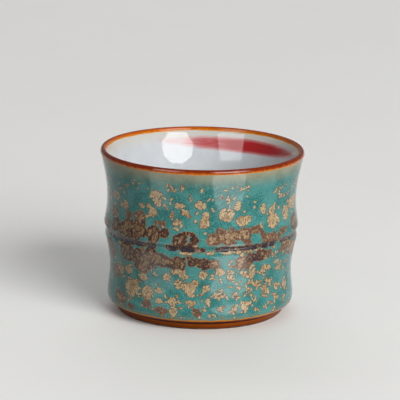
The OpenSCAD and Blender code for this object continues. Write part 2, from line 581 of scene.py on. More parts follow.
@dataclass(frozen=True)
class LipLine:
    """The rounded lip: where it is widest, its crest, and where its inside starts."""

    wide_height: float
    wide_radius: float
    crest_height: float
    crest_radius: float
    in_height: float
    in_radius: float
    coat: float

    @classmethod
    def measured(cls) -> LipLine:
        """Reads the lip off its CAD node and the clay under it.

        Returns:
            The line over the lip.
        """
        node = TurnedNode.read("lip_glaze")
        clay = TurnedNode.read("clay_body")
        widest = int(np.argmax(node.widest))
        crest_radius = float(node.widest[-1])
        in_radius = 2.0 * crest_radius - float(node.widest[widest])
        inside = int(np.argmin(np.abs(node.narrowest - in_radius)))
        return cls(
            wide_height=float(node.levels[widest]),
            wide_radius=float(node.widest[widest]),
            crest_height=float(node.levels[-1]),
            crest_radius=crest_radius,
            in_height=float(node.levels[inside]),
            in_radius=in_radius,
            coat=float(node.levels[-1] - clay.levels[-1]),
        )

    def over(self, count: int, inset: float) -> Array:
        """Two quarter ellipses from the widest point over the crest to the inside.

        Args:
            count: Number of points on each quarter.
            inset: How far the line is set in all round.

        Returns:
            Radius and height of each point.
        """
        turn = np.linspace(0.0, QUARTER_TURN, count)
        out = self.wide_radius - self.crest_radius - inset
        rise = self.crest_height - self.wide_height - inset
        fall = self.crest_height - self.in_height - inset
        inward = self.crest_radius - self.in_radius - inset
        outer_r = self.crest_radius + out * np.cos(turn)
        outer_z = self.wide_height + rise * np.sin(turn)
        inner_r = self.crest_radius - inward * np.sin(turn[1:])
        inner_z = self.in_height + fall * np.cos(turn[1:])
        radius = np.concatenate([outer_r, inner_r])
        height = np.concatenate([outer_z, inner_z])
        return np.stack([radius, height], axis=-1)


@dataclass(frozen=True)
class BowlLine:
    """The glazed inside of the cup: a flat floor, a fillet, and a wall that spreads to the lip."""

    floor: float
    coat: float
    fillet: float
    wall: float
    spread_start: float
    top: float
    lip_in: float
    lip_radius: float

    @classmethod
    def measured(cls, lip: LipLine) -> BowlLine:
        """Reads the floor, the fillet and the wall off the liner's node.

        Args:
            lip: The line over the lip, where the inside ends.

        Returns:
            The inside line.
        """
        node = TurnedNode.read("inner_glaze")
        flat = node.levels[node.narrowest < node.narrowest.min() + TOUCH]
        floor, coat = flat.max(), flat.max() - flat.min()
        paired = node.widest - node.narrowest > coat / 2.0
        wall = node.narrowest[paired][0]
        upright = node.levels[paired & (node.narrowest < wall + TOUCH)]
        return cls(
            floor=float(floor),
            coat=float(coat),
            fillet=float(upright.min() - floor),
            wall=float(wall),
            spread_start=float(upright.max()),
            top=float(node.levels[-1]),
            lip_in=lip.in_height,
            lip_radius=lip.in_radius,
        )

    def at(self, height: Array) -> Array:
        """Radius of the wall: upright, then out to the lip by the square of the height."""
        share = (height - self.spread_start) / (self.lip_in - self.spread_start)
        return self.wall + (self.lip_radius - self.wall) * np.maximum(share, 0.0) ** 2

    def outline(self, top: float, back: float, counts: tuple[int, int, int]) -> Array:
        """Points from the middle of the floor out, round the fillet and up the wall.

        Args:
            top: Height at which the line ends.
            back: How far the line is set back into the clay.
            counts: Numbers of points on the floor, the fillet and the wall.

        Returns:
            Radius and height of each point.
        """
        flat_r = self.wall - self.fillet
        middle = self.floor + self.fillet
        reach = self.fillet + back
        floor_r = np.linspace(AXIS_HOLE, flat_r, counts[0], endpoint=False)
        floor_z = np.full(counts[0], self.floor - back)
        turn = np.linspace(0.0, QUARTER_TURN, counts[1], endpoint=False)
        wall_z = np.linspace(middle, top, counts[2])
        radius = np.concatenate([floor_r, flat_r + reach * np.sin(turn), self.at(wall_z) + back])
        height = np.concatenate([floor_z, middle - reach * np.cos(turn), wall_z])
        return np.stack([radius, height], axis=-1)


# Crystals in the outer coat


class Habit(Enum):
    """How a patch of crystals has grown."""

    ROSETTE = "broad tan lobes with small ones round them"
    RUST = "the same in brown"
    CLOT = "tall dark lobes that have run together"
    LACE = "short grains that fan out from points"


@dataclass(frozen=True)
class LobeSizes:
    """What the lobes of a patch are like, with lengths in millimetres.

    Hearts fill the patch, one to each room, with a radius that is a share of its lesser half
    size. Petals stand round its edge, a pitch apart.
    """

    room: float
    heart: Range
    widest: float
    length: Range
    lean: Range
    petal: Range
    pitch: float
    dark: Range


@dataclass(frozen=True)
class GrainSizes:
    """What the grains of a sprig are like: how many there are, their radius and half length."""

    grains: int
    radius: Range
    length: Range
    dark: Range = (0.0, 0.15)


LOBES: dict[Habit, LobeSizes] = {
    Habit.ROSETTE: LobeSizes(
        3.0, (0.36, 0.54), 1.2, (0.0, 0.35), (0.0, HALF_TURN), (0.24, 0.44), 1.1, (0.0, 0.1)
    ),
    Habit.RUST: LobeSizes(
        1.6, (0.3, 0.46), 0.85, (0.0, 0.5), (0.0, HALF_TURN), (0.26, 0.46), 1.3, (0.38, 0.62)
    ),
    Habit.CLOT: LobeSizes(
        1.7, (0.26, 0.42), 0.95, (0.1, 0.7), (0.4, 2.7), (0.28, 0.5), 1.3, (0.8, 1.0)
    ),
}
LACE = GrainSizes(3, (0.11, 0.19), (0.35, 0.85))
LACE_ROOM = 4.6

# Patches on the front: bearing in degrees, height, half width and half height
PATCHES: dict[Habit, tuple[tuple[float, float, float, float], ...]] = {
    Habit.ROSETTE: (
        (-27, 46.4, 2.3, 2.1), (-26.6, 43.7, 1.2, 1.0), (-13.1, 43.9, 1.6, 1.0), (-0.6, 44.3, 1.8, 1.3),
        (2.6, 40.6, 1.2, 1.3), (1.8, 38.1, 1.7, 1.7), (14.9, 41, 2.6, 2.3), (21.8, 43.9, 1.1, 1.7),
        (25, 38.3, 2.2, 1.7), (29, 38.9, 1.1, 1.1), (47, 40.6, 1.4, 1.6), (48.1, 36.8, 3.0, 2.3),
        (39.5, 41.8, 1.1, 1.9), (61.2, 38, 2.0, 2.5), (72, 40.8, 3.8, 2.3), (-30, 40.6, 1.6, 1.7),
        (-37.5, 42.2, 0.9, 0.9), (-32.9, 42.8, 0.8, 0.8), (-55.6, 40.6, 0.9, 1.0), (-51.7, 41, 1.5, 1.6),
        (-61.8, 43.1, 2.1, 1.5), (-14, 37.2, 1.5, 1.9), (-20.6, 18.7, 1.5, 1.1), (-13.4, 16.4, 1.5, 1.4),
        (-6.9, 15.2, 2.2, 1.7), (-5.4, 13.1, 1.1, 0.9), (-3, 17, 1.2, 1.2), (-47.4, 12.4, 3.3, 2.9),
        (-34.3, 11.8, 2.4, 2.4), (-38, 17.2, 1.8, 1.3), (-50.3, 18.5, 1.9, 1.5), (-59, 17.7, 2.0, 1.8),
        (-26.4, 13.5, 1.4, 0.9), (-25.7, 9.9, 1.4, 0.9), (-17, 10.2, 1.5, 1.5), (-5.4, 10.2, 1.6, 0.9),
        (3.6, 15.2, 1.2, 1.2), (5, 10.6, 0.9, 1.1), (-16, 6.9, 1.3, 1.7), (28.6, 8.5, 1.6, 1.6),
        (54.7, 13, 1.3, 1.2), (65.5, 12.6, 1.8, 2.0), (1.5, 20, 1.3, 1.4), (33, 20.3, 1.4, 2.4),
        (-13, 20.8, 2.6, 1.6), (15, 20.8, 3.0, 0.9), (42, 20.5, 1.2, 1.5), (46, 20.5, 0.9, 0.9),
        (56, 19.5, 1.8, 0.9), (53, 22, 1.4, 0.8), (25, 27, 0.9, 0.6), (-8, 27.8, 2.2, 0.5),
        (6, 28, 1.6, 0.5), (15, 27.8, 1.5, 0.5), (22, 27.8, 1.4, 0.5), (31, 27.9, 2.2, 0.5),
    ),
    Habit.RUST: (
        (-39.4, 38.1, 2.5, 2.3), (-48.8, 38, 1.4, 1.3), (-64.7, 37.2, 2.3, 1.8), (-25, 37.2, 1.8, 0.9),
        (11.2, 35.2, 1.3, 1.3), (34, 35, 2.6, 1.3), (41.5, 31.6, 2.2, 1.5), (47.5, 31.8, 1.4, 1.4),
        (52.5, 31, 1.0, 1.4), (58, 32.8, 2.6, 0.9), (8.5, 23.8, 1.6, 1.6), (25, 24, 2.4, 2.2),
        (43.5, 25.8, 2.0, 1.5), (28, 22.8, 1.6, 1.2), (60, 26.5, 3.6, 1.5),
        (-38, 20.4, 2.4, 1.8), (-66, 16, 3.0, 2.0), (-58, 8, 3.6, 2.0), (-47.4, 6, 1.5, 0.8),
        (-34.3, 8, 1.6, 1.2), (-24, 6.8, 2.4, 1.1), (-1.8, 7, 1.5, 1.3), (38.5, 33.3, 1.0, 1.2),
        (70, 25, 3.2, 2.4), (7, 32.5, 2.2, 2.1), (28, 31.3, 1.6, 1.0),
        (17, 33.3, 3.8, 2.9), (26, 33.8, 3.0, 2.2),
    ),
    Habit.CLOT: (
        (-45.5, 33.3, 6.6, 3.0), (-39, 35.5, 2.5, 2.0), (-61.5, 33.2, 2.5, 2.2), (-29, 33.4, 2.3, 3.0),
        (-21.8, 34, 1.6, 1.7), (-12.6, 32, 2.3, 2.2), (-7.5, 34.1, 2.3, 0.9), (-4, 32.3, 1.3, 1.5),
        (-8.5, 30.7, 2.0, 0.8), (74, 33.5, 3.6, 2.8),
        (-76, 31.4, 4.0, 2.5), (-50, 24.8, 4.2, 3.2), (-38, 23.2, 3.6, 4.2), (-30, 24.6, 3.2, 3.4),
        (-22.5, 24.3, 3.0, 2.4), (-14, 23.6, 3.0, 2.6), (-6.5, 24.9, 3.0, 1.6), (2.5, 23.9, 2.3, 2.0),
        (-70, 24, 3.4, 3.2), (80, 24, 3.0, 3.0), (31.5, 25.4, 2.4, 1.8),
        (38, 25.8, 2.4, 2.0),
    ),
    Habit.LACE: (
        (-13.4, 40.6, 2.5, 1.6), (-8, 41, 1.2, 1.2), (53.2, 44.8, 1.2, 1.7), (61, 25.6, 4.0, 2.8),
        (43, 24.7, 1.9, 1.9), (50.3, 24.7, 1.6, 1.5), (41.6, 20.6, 1.2, 1.8), (57.5, 19.3, 2.0, 2.0),
        (11.2, 13, 2.9, 2.1), (22, 12.6, 1.8, 2.0), (12, 8, 2.2, 1.4), (36.6, 13.5, 5.6, 4.2),
        (49.6, 15.2, 1.3, 1.6), (19.2, 17.7, 2.0, 1.4), (25, 16, 2.0, 1.6), (43.8, 10.4, 2.0, 1.6),
        (20, 7, 2.2, 1.4), (37, 7, 2.6, 1.4), (52, 8.4, 2.4, 1.8), (62, 7.4, 2.0, 1.6),
        (-42, 15.2, 1.4, 0.8), (-10, 20, 1.6, 1.0), (7.6, 19, 1.2, 1.0), (25.7, 19.5, 1.6, 1.2),
    ),
}


@dataclass(frozen=True)
class Strewn:
    """Sprigs strewn evenly round the cup between two heights."""

    count: int
    heights: Range
    sizes: GrainSizes


STREWN = (
    Strewn(110, (44.5, 51.5), GrainSizes(1, (0.13, 0.22), (0.1, 0.6))),
    Strewn(34, (44.0, 50.0), GrainSizes(3, (0.12, 0.2), (0.2, 0.6))),
    Strewn(70, (35.0, 45.0), GrainSizes(1, (0.2, 0.34), (0.05, 0.45))),
    Strewn(26, (36.0, 44.0), GrainSizes(3, (0.22, 0.32), (0.2, 0.5))),
    Strewn(110, (19.0, 35.0), GrainSizes(1, (0.2, 0.36), (0.05, 0.45), (0.0, 0.5))),
    Strewn(40, (18.0, 28.0), GrainSizes(3, (0.22, 0.32), (0.2, 0.5))),
    Strewn(190, (4.8, 21.0), GrainSizes(1, (0.13, 0.24), (0.05, 0.5))),
    Strewn(70, (4.8, 20.0), GrainSizes(3, (0.12, 0.2), (0.2, 0.6))),
)


@dataclass(frozen=True)
class IronDashes:
    """The broken iron line: where its dashes run, how full they are and how high they lie."""

    # Start and end in degrees, and strength, on the front
    dashes: tuple[tuple[float, float, float], ...] = (
        (-75.0, -68.0, 0.8), (-69.0, -62.0, 0.85), (-59.5, -53.0, 0.95), (-54.0, -48.0, 1.0),
        (-49.0, -43.0, 0.95), (-43.0, -35.5, 0.9), (-33.0, -27.5, 0.85), (-20.0, -14.0, 0.95),
        (-12.5, -7.0, 0.95), (-8.0, -3.5, 0.95), (0.0, 2.0, 0.4), (9.0, 11.0, 0.45),
        (11.0, 17.5, 0.75), (17.0, 22.0, 0.5), (22.0, 27.0, 0.5), (26.0, 31.0, 0.75),
        (30.0, 35.5, 0.8), (38.0, 44.0, 0.95), (43.5, 49.5, 0.95), (54.0, 59.0, 0.55),
        (58.0, 63.0, 0.6), (65.0, 72.0, 0.85), (71.0, 80.0, 0.9), (79.0, 88.0, 0.9),
    )
    evenness: float = 0.88
    lumps: Ripple = Ripple(0.14, (43, 67, 97, 131), 3)
    sway: Ripple = Ripple(0.15, (9, 17, 23, 51), 8)
    above_crease: float = 0.32
    reach: float = 1.0
    thinnest: float = 0.35
    fades: Range = (1.3, 0.5)
    lobe_pitch: float = 1.5
    lobe_swing: float = 0.3
    lobe_radius: Range = (0.7, 1.0)
    lobe_thinnest: float = 0.5
    lobe_length: Range = (0.4, 0.9)
    lobe_lean: Range = (-0.3, 0.3)
    lobe_stray: float = 0.25

    def all_round(self) -> Array:
        """Adds the mirror image at the back to the dashes of the front.

        Returns:
            Starts, ends and strengths, shaped three by dashes.
        """
        start, stop, full = np.array(self.dashes).T
        starts = np.concatenate([start, HALF_CIRCLE - stop])
        stops = np.concatenate([stop, HALF_CIRCLE - start])
        return np.stack([starts, stops, np.concatenate([full, full])])

    def strength(self, bearing: Array) -> Array:
        """How full the line is: each dash swells as half an ellipse does, and is a little lumpy.

        Args:
            bearing: Bearings in radians.

        Returns:
            The strength at each bearing, 0 to 1.
        """
        start, stop, full = self.all_round()
        middle, half = (start + stop) / 2.0, (stop - start) / 2.0
        away = np.degrees(bearing)[:, None] - middle
        away = np.abs((away + HALF_CIRCLE) % CIRCLE - HALF_CIRCLE)
        swell = np.sqrt(np.maximum(1.0 - (away / half) ** 2, 0.0)) * full
        return np.clip(swell.max(axis=1) * (self.evenness + self.lumps.at(bearing)), 0.0, 1.0)

    def pool(self, bearing: Array, height: Array, crease: float) -> Array:
        """How dark the coat is by the line: full just above the crease, fading up and down.

        Args:
            bearing: Bearings of the columns.
            height: Heights of the rows.
            crease: Height of the crease.

        Returns:
            The darkness, shaped rows by columns.
        """
        full = self.strength(bearing)
        away = np.abs(height[:, None] - crease - self.above_crease - self.sway.at(bearing))
        away = away / (self.reach * up_from(self.thinnest, full))
        return full * smooth_step(away, *self.fades)


@dataclass
class CrystalGrowth:
    """All the crystals of the coat as rounded strokes, grown from one seed.

    A stroke has a bearing, a height, a half length, a lean from the horizontal, a radius, a tone
    from tan at 0 to dark at 1, and a pick of 0 to 1 that tells it from its neighbours.
    """

    wall: float
    crease: float
    iron: IronDashes
    seed: int = 11
    jitter: float = 1.5
    far: float = 3.5
    band: int = 6
    least_sprigs: int = 2
    least_petals: int = 3
    petal_swing: float = 0.35
    petal_least: float = 0.4
    petal_growth: float = 0.5
    petal_stray: Range = (0.8, 1.16)
    petal_length: Range = (0.0, 0.5)
    lobes: Array = field(init=False)

    def __post_init__(self) -> None:
        """Grows the patches of the front, the same mirrored at the back, and what is strewn."""
        self.rng = np.random.default_rng(self.seed)
        grown = [self._pair(habit, *spot) for habit, spots in PATCHES.items() for spot in spots]
        grown += [self._strewn(strewn) for strewn in STREWN]
        grown += [self._dash(*dash) for dash in self.iron.all_round().T]
        self.lobes = np.concatenate(grown, axis=1)

    def _pair(
        self, habit: Habit, degrees: float, height: float, half_width: float, half_height: float
    ) -> Array:
        """Grows a patch on the front and its mirrored fellow at the back, a little astray.

        Args:
            habit: How the patch has grown.
            degrees: Bearing of its middle in degrees.
            height: Height of its middle.
            half_width: Half its width.
            half_height: Half its height.

        Returns:
            The strokes of both, shaped values by strokes.
        """
        bearing = math.radians(degrees)
        front = self._patch(habit, bearing, height, half_width, half_height)
        astray = self.rng.uniform(-self.jitter, self.jitter)
        behind = HALF_TURN - bearing + astray / self.wall
        back = self._patch(habit, behind, height + astray / 2.0, half_width, half_height)
        return np.concatenate([front, back], axis=1)

    def _strokes(
        self, bearing: Array, height: Array, length: Array, lean: Array, radius: Array, dark: Range
    ) -> Array:
        """Stacks strokes, and draws a tone and a pick for each.

        Args:
            bearing: Bearings of their middles.
            height: Heights of their middles.
            length: Half lengths.
            lean: Leans.
            radius: Radii.
            dark: Least and greatest tone.

        Returns:
            The strokes, shaped values by strokes.
        """
        tone = self.rng.uniform(*dark, len(bearing))
        pick = self.rng.uniform(0.0, 1.0, len(bearing))
        return np.stack([bearing, height, length, lean, radius, tone, pick])

    def _scatter(self, count: int, half_width: float, half_height: float) -> tuple[Array, Array]:
        """Strews points evenly over an ellipse: a lone one in its middle, two within half of it.

        Args:
            count: Number of points.
            half_width: Half the width of the ellipse.
            half_height: Half its height.

        Returns:
            How far each point lies across and up from the middle.
        """
        out = np.sqrt(self.rng.uniform(0.0, 1.0, count)) * min(1.0, (count - 1.0) / 2.0)
        turn = self.rng.uniform(0.0, FULL_TURN, count)
        return out * np.cos(turn) * half_width, out * np.sin(turn) * half_height

    def _patch(
        self, habit: Habit, bearing: float, height: float, half_width: float, half_height: float
    ) -> Array:
        """Grows one patch: sprigs for lace, and hearts with petals round them for the rest.

        Args:
            habit: How the patch has grown.
            bearing: Bearing of its middle in radians.
            height: Height of its middle.
            half_width: Half its width.
            half_height: Half its height.

        Returns:
            Its strokes, shaped values by strokes.
        """
        area = math.pi * half_width * half_height
        if habit is Habit.LACE:
            count = max(self.least_sprigs, round(area / LACE_ROOM))
            across, up = self._scatter(count, half_width, half_height)
            return self._sprigs(bearing + across / self.wall, height + up, LACE)
        sizes = LOBES[habit]
        lesser = min(half_width, half_height)
        count = max(1, round(area / sizes.room))
        radius = np.minimum(self.rng.uniform(*sizes.heart, count) * lesser, sizes.widest)
        inset = radius.mean()
        across, up = self._scatter(count, half_width - inset, half_height - inset)
        length = self.rng.uniform(*sizes.length, count)
        lean = self.rng.uniform(*sizes.lean, count)
        hearts = self._strokes(
            bearing + across / self.wall, height + up, length, lean, radius, sizes.dark
        )
        count = round(math.pi * (half_width + half_height) / sizes.pitch)
        count = max(self.least_petals, count)
        swing = self.rng.uniform(-self.petal_swing, self.petal_swing, count)
        turn = FULL_TURN * (np.arange(count) + swing) / count
        radius = self.rng.uniform(*sizes.petal, count)
        radius = radius * min(1.0, self.petal_least + self.petal_growth * lesser)
        across = (half_width - radius) * np.cos(turn) * self.rng.uniform(*self.petal_stray, count)
        up = (half_height - radius) * np.sin(turn) * self.rng.uniform(*self.petal_stray, count)
        length = self.rng.uniform(*self.petal_length, count) * radius
        petals = self._strokes(
            bearing + across / self.wall, height + up, length, turn, radius, sizes.dark
        )
        return np.concatenate([hearts, petals], axis=1)

    def _sprigs(self, bearing: Array, height: Array, sizes: GrainSizes) -> Array:
        """Grows grains that start at these points, each with a lean of its own.

        Args:
            bearing: Bearings of the points.
            height: Heights of the points.
            sizes: What the grains are like.

        Returns:
            The strokes, shaped values by strokes.
        """
        bearing, height = np.repeat(bearing, sizes.grains), np.repeat(height, sizes.grains)
        length = self.rng.uniform(*sizes.length, len(bearing))
        lean = self.rng.uniform(0.0, FULL_TURN, len(bearing))
        radius = self.rng.uniform(*sizes.radius, len(bearing))
        bearing = bearing + length * np.cos(lean) / self.wall
        height = height + length * np.sin(lean)
        return self._strokes(bearing, height, length, lean, radius, sizes.dark)

    def _strewn(self, strewn: Strewn) -> Array:
        """Strews sprigs evenly round the cup.

        Args:
            strewn: How many there are, where and of what sizes.

        Returns:
            The strokes, shaped values by strokes.
        """
        bearing = self.rng.uniform(-HALF_TURN, HALF_TURN, strewn.count)
        height = self.rng.uniform(*strewn.heights, strewn.count)
        return self._sprigs(bearing, height, strewn.sizes)

    def _dash(self, start: float, stop: float, full: float) -> Array:
        """Grows dark level strokes along a dash of the iron line.

        Args:
            start: Where the dash starts, in degrees.
            stop: Where it ends.
            full: Its strength.

        Returns:
            Its strokes, shaped values by strokes.
        """
        iron = self.iron
        count = max(1, round(math.radians(stop - start) * self.wall / iron.lobe_pitch))
        swing = self.rng.uniform(-iron.lobe_swing, iron.lobe_swing, count)
        along = (np.arange(count) + 0.5 + swing) / count
        bearing = np.radians(start + (stop - start) * along)
        stray = self.rng.uniform(-iron.lobe_stray, iron.lobe_stray, count)
        height = self.crease + iron.above_crease + stray
        length = self.rng.uniform(*iron.lobe_length, count) * full
        lean = self.rng.uniform(*iron.lobe_lean, count)
        radius = self.rng.uniform(*iron.lobe_radius, count) * up_from(iron.lobe_thinnest, full)
        return self._strokes(bearing, height, length, lean, radius, LOBES[Habit.CLOT].dark)

    def measure(self, bearing: Array, height: Array, radius: Array) -> dict[str, Array]:
        """Measures the crystals at each point of a grid on the wall.

        The distance to a stroke is the distance to its middle line less its radius, so it is
        negative inside. The nearest stroke gives the edge, the tone and the pick, and the seam is
        how much further the next one is.

        Args:
            bearing: Bearings of the columns.
            height: Heights of the rows.
            radius: Radii of the wall at the rows.

        Returns:
            The edge, seam, dark and pick values, each shaped rows by columns.
        """
        names = ("edge", "seam", "dark", "pick")
        found = {name: np.empty((len(height), len(bearing)), np.float32) for name in names}
        for start in range(0, len(height), self.band):
            rows = slice(start, start + self.band)
            away = np.abs(self.lobes[1] - height[rows].mean())
            spot, level, length, lean, size, dark, pick = self.lobes[:, away < self.far]
            turn = (bearing[:, None] - spot + HALF_TURN) % FULL_TURN - HALF_TURN
            across = turn[None] * radius[rows, None, None]
            up = height[rows, None, None] - level
            along = across * np.cos(lean) + up * np.sin(lean)
            along = np.clip(along, -length, length)
            gap = np.hypot(across - along * np.cos(lean), up - along * np.sin(lean)) - size
            nearest = gap.argmin(axis=-1)
            edge = np.take_along_axis(gap, nearest[..., None], axis=-1)
            np.put_along_axis(gap, nearest[..., None], np.inf, axis=-1)
            found["edge"][rows] = np.minimum(edge[..., 0], self.far)
            found["seam"][rows] = np.minimum(gap.min(axis=-1) - edge[..., 0], self.far)
            found["dark"][rows] = dark[nearest]
            found["pick"][rows] = pick[nearest]
        return found


# Finishes. A turn holds the two values of a signal between which one colour gives way to another


@dataclass(frozen=True)
class Layer:
    """A colour that covers what lies below it, as a signal goes from one value to another."""

    colour: Colour
    turn: Range
    share: float = 1.0

    def over(self, below: Tint, signal: Signal) -> Signal:
        """Lays the colour over the one below, as fully as its share says."""
        return signal.shader.blend(signal.rise(*self.turn) * self.share, below, self.colour)


@dataclass(frozen=True)
class Gloss:
    """How a surface shines: its roughness, what a signal adds to that, its relief and density."""

    dull: float
    varied: float
    relief: float
    density: float

    def material(self, colour: Signal, signal: Signal, height: Signal) -> bpy.types.Material:
        """Ends a finish in a surface with fine relief.

        Args:
            colour: The base colour.
            signal: What the roughness varies with.
            height: Height of the relief, 0 to 1.

        Returns:
            The finished material.
        """
        roughness = signal * self.varied + self.dull
        return colour.shader.surface(colour, roughness, height, self.relief, IOR=self.density)


@dataclass(frozen=True)
class TurquoiseFinish:
    """The crystalline coat: speckled turquoise, tan and dark crystals with rust-coloured rims."""

    deep: Colour = seen(34, 112, 107)
    mid: Layer = Layer(seen(78, 148, 144), (0.39, 0.59))
    pale: Layer = Layer(seen(112, 172, 166), (0.52, 0.72), 0.7)
    cream: Layer = Layer(seen(178, 160, 126), (-5.8, 1.6), 0.9)
    veil: Layer = Layer(seen(178, 160, 126), (2.0, 0.0), 0.35)
    tan_shade: Colour = seen(136, 112, 84)
    tan: Layer = Layer(seen(194, 171, 134), (0.42, 0.6))
    tan_bright: Layer = Layer(seen(214, 187, 142), (-0.4, -0.1), 0.6)
    rust: Colour = seen(98, 73, 65)
    rust_pale: Layer = Layer(seen(172, 146, 112), (0.65, 1.28))
    clot: Colour = seen(56, 40, 46)
    khaki: Layer = Layer(seen(156, 130, 94), (0.85, 1.4))
    joint: Layer = Layer(seen(114, 74, 38), (0.26, 0.04), 0.6)
    rim: Colour = seen(98, 52, 14)
    clot_rim: Layer = Layer(seen(150, 88, 34), (0.2, 0.7))
    iron: Colour = seen(36, 29, 44)
    iron_pale: Layer = Layer(seen(78, 62, 66), (0.45, 0.7))
    rust_turn: Range = (0.2, 0.36)
    clot_turn: Range = (0.62, 0.8)
    inside_turn: Range = (0.27, 0.18)
    rim_turn: Range = (0.02, 0.11)
    rim_share: float = 0.95
    pool_turn: Range = (0.3, 0.6)
    pool_rim_share: float = 0.4
    grain: Noise = Noise(0.3, Detail.PLAIN)
    mottle: Noise = Noise(0.8)
    cloud: Noise = Noise(5.0)
    streak: Noise = Noise(0.5, stretch=(1.0, 1.0, 0.6))
    level_sway: float = 2.0
    rough_edge: float = 0.6
    fine_edge: float = 0.3
    ring_period: float = 0.85
    ring_sway: float = 0.35
    tan_ring: float = 0.1
    pebble_ring: float = 0.75
    pebble_streak: float = 1.1
    pebble_pick: float = 0.4
    dull_crystal: float = 0.18
    dull_grain: float = 0.06
    high_crystal: float = 0.6
    high_cloud: float = 0.8
    high_mottle: float = 0.15
    gloss: Gloss = Gloss(dull=0.04, varied=1.0, relief=0.02, density=1.32)

    def material(self, low: float, high: float) -> bpy.types.Material:
        """Builds the material from what the mesh carries.

        The ground is speckled, and fades to cream under the lip and above the hem.

        Args:
            low: Height at which the coat ends below.
            high: Height at which it ends above.

        Returns:
            The material.
        """
        make = Shader.named("turquoise_glaze")
        grain, mottle, cloud = (make.noise(n) for n in (self.grain, self.mottle, self.cloud))
        height = make.height() + cloud.sway(self.level_sway)
        ground = self.mid.over(self.deep, grain.mean(cloud))
        ground = self.pale.over(ground, grain.mean(mottle))
        ground = self.cream.over(ground, height - high)
        ground = self.veil.over(ground, height - low)
        inside, crystal = self._crystals(make, grain, mottle)
        dull = inside * self.dull_crystal + grain * self.dull_grain
        relief = inside * self.high_crystal + cloud * self.high_cloud + mottle * self.high_mottle
        return self.gloss.material(make.blend(inside, ground, crystal), dull, relief)

    def _crystals(self, make: Shader, grain: Signal, mottle: Signal) -> tuple[Signal, Signal]:
        """Mixes the crystals from the distance to their edges.

        Args:
            make: The shader.
            grain: The finest noise.
            mottle: The next noise.

        Returns:
            A mask that is 1 inside the crystals, and their colour.
        """
        fine = grain.sway(self.fine_edge)
        edge = make.painted("edge") + mottle.sway(self.rough_edge) + fine
        dark = make.painted("dark")
        streak = make.noise(self.streak)
        ring = (edge + streak.sway(self.ring_sway)).wave(self.ring_period)
        pebble = ring * self.pebble_ring + streak * self.pebble_streak
        pebble = pebble + make.painted("pick").sway(self.pebble_pick)
        tan = self.tan.over(self.tan_shade, streak + ring * self.tan_ring)
        tan = self.tan_bright.over(tan, edge)
        rust = self.rust_pale.over(self.rust, pebble)
        clot = self.khaki.over(self.clot, pebble)
        colour = make.blend(dark.rise(*self.rust_turn), tan, rust)
        colour = make.blend(dark.rise(*self.clot_turn), colour, clot)
        colour = self.joint.over(colour, make.painted("seam") + fine)
        rim = edge.rise(*self.rim_turn)
        colour = make.blend(rim * self.rim_share, colour, self.clot_rim.over(self.rim, dark))
        pool = (make.painted("pool") + streak.sway(self.rough_edge) + fine).rise(*self.pool_turn)
        pool = pool * (1.0 - rim * self.pool_rim_share)
        colour = make.blend(pool, colour, self.iron_pale.over(self.iron, streak))
        return edge.rise(*self.inside_turn), colour


@dataclass(frozen=True)
class IronFinish:
    """The dark iron line: purple-black with brown where it thins."""

    dark: Colour = seen(36, 29, 44)
    brown: Layer = Layer(seen(80, 60, 60), (0.45, 0.75))
    cloud: Noise = Noise(0.6, Detail.RICH)
    gloss: Gloss = Gloss(dull=0.12, varied=0.2, relief=0.03, density=1.4)

    def material(self) -> bpy.types.Material:
        """Builds the material."""
        cloud = Shader.named("iron_line").noise(self.cloud)
        return self.gloss.material(self.brown.over(self.dark, cloud), cloud, cloud)


@dataclass(frozen=True)
class AmberFinish:
    """Amber glaze over the lip: red-brown where it is thin on the crest, orange at its edges.

    The bands follow each other from the outer edge over the crest to the inner one.
    """

    crest: Colour = seen(124, 36, 0)
    amber: Colour = seen(188, 86, 4)
    orange: Colour = seen(224, 140, 26)
    # Pale at the outer lower edge: the amber thinning onto the cream, lightened as a painted highlight
    # along the lip's lower roll
    fringe_and_highlight: Colour = seen(208, 162, 98)
    bands: tuple[Layer, ...] = (
        Layer(orange, (0.04, 0.12)),
        Layer(amber, (0.13, 0.2)),
        Layer(crest, (0.2, 0.31)),
        Layer(amber, (0.52, 0.66)),
        Layer(orange, (0.7, 0.9)),
    )
    specks: Layer = Layer(amber, (0.52, 0.75), 0.4)
    band_sway: float = 0.24
    cloud: Noise = Noise(1.2, Detail.RICH)
    grain: Noise = Noise(0.3, Detail.PLAIN)
    gloss: Gloss = Gloss(dull=0.01, varied=0.03, relief=0.02, density=1.42)

    def material(self) -> bpy.types.Material:
        """Builds the material.

        Returns:
            The material.
        """
        make = Shader.named("lip_amber")
        cloud = make.noise(self.cloud)
        across = make.painted("over") + cloud.sway(self.band_sway)
        # Starts from the pale fringe, partly a painted highlight along the lower roll
        colour: Tint = self.fringe_and_highlight
        for band in self.bands:
            colour = band.over(colour, across)
        colour = self.specks.over(colour, make.noise(self.grain))
        return self.gloss.material(colour, cloud, cloud)


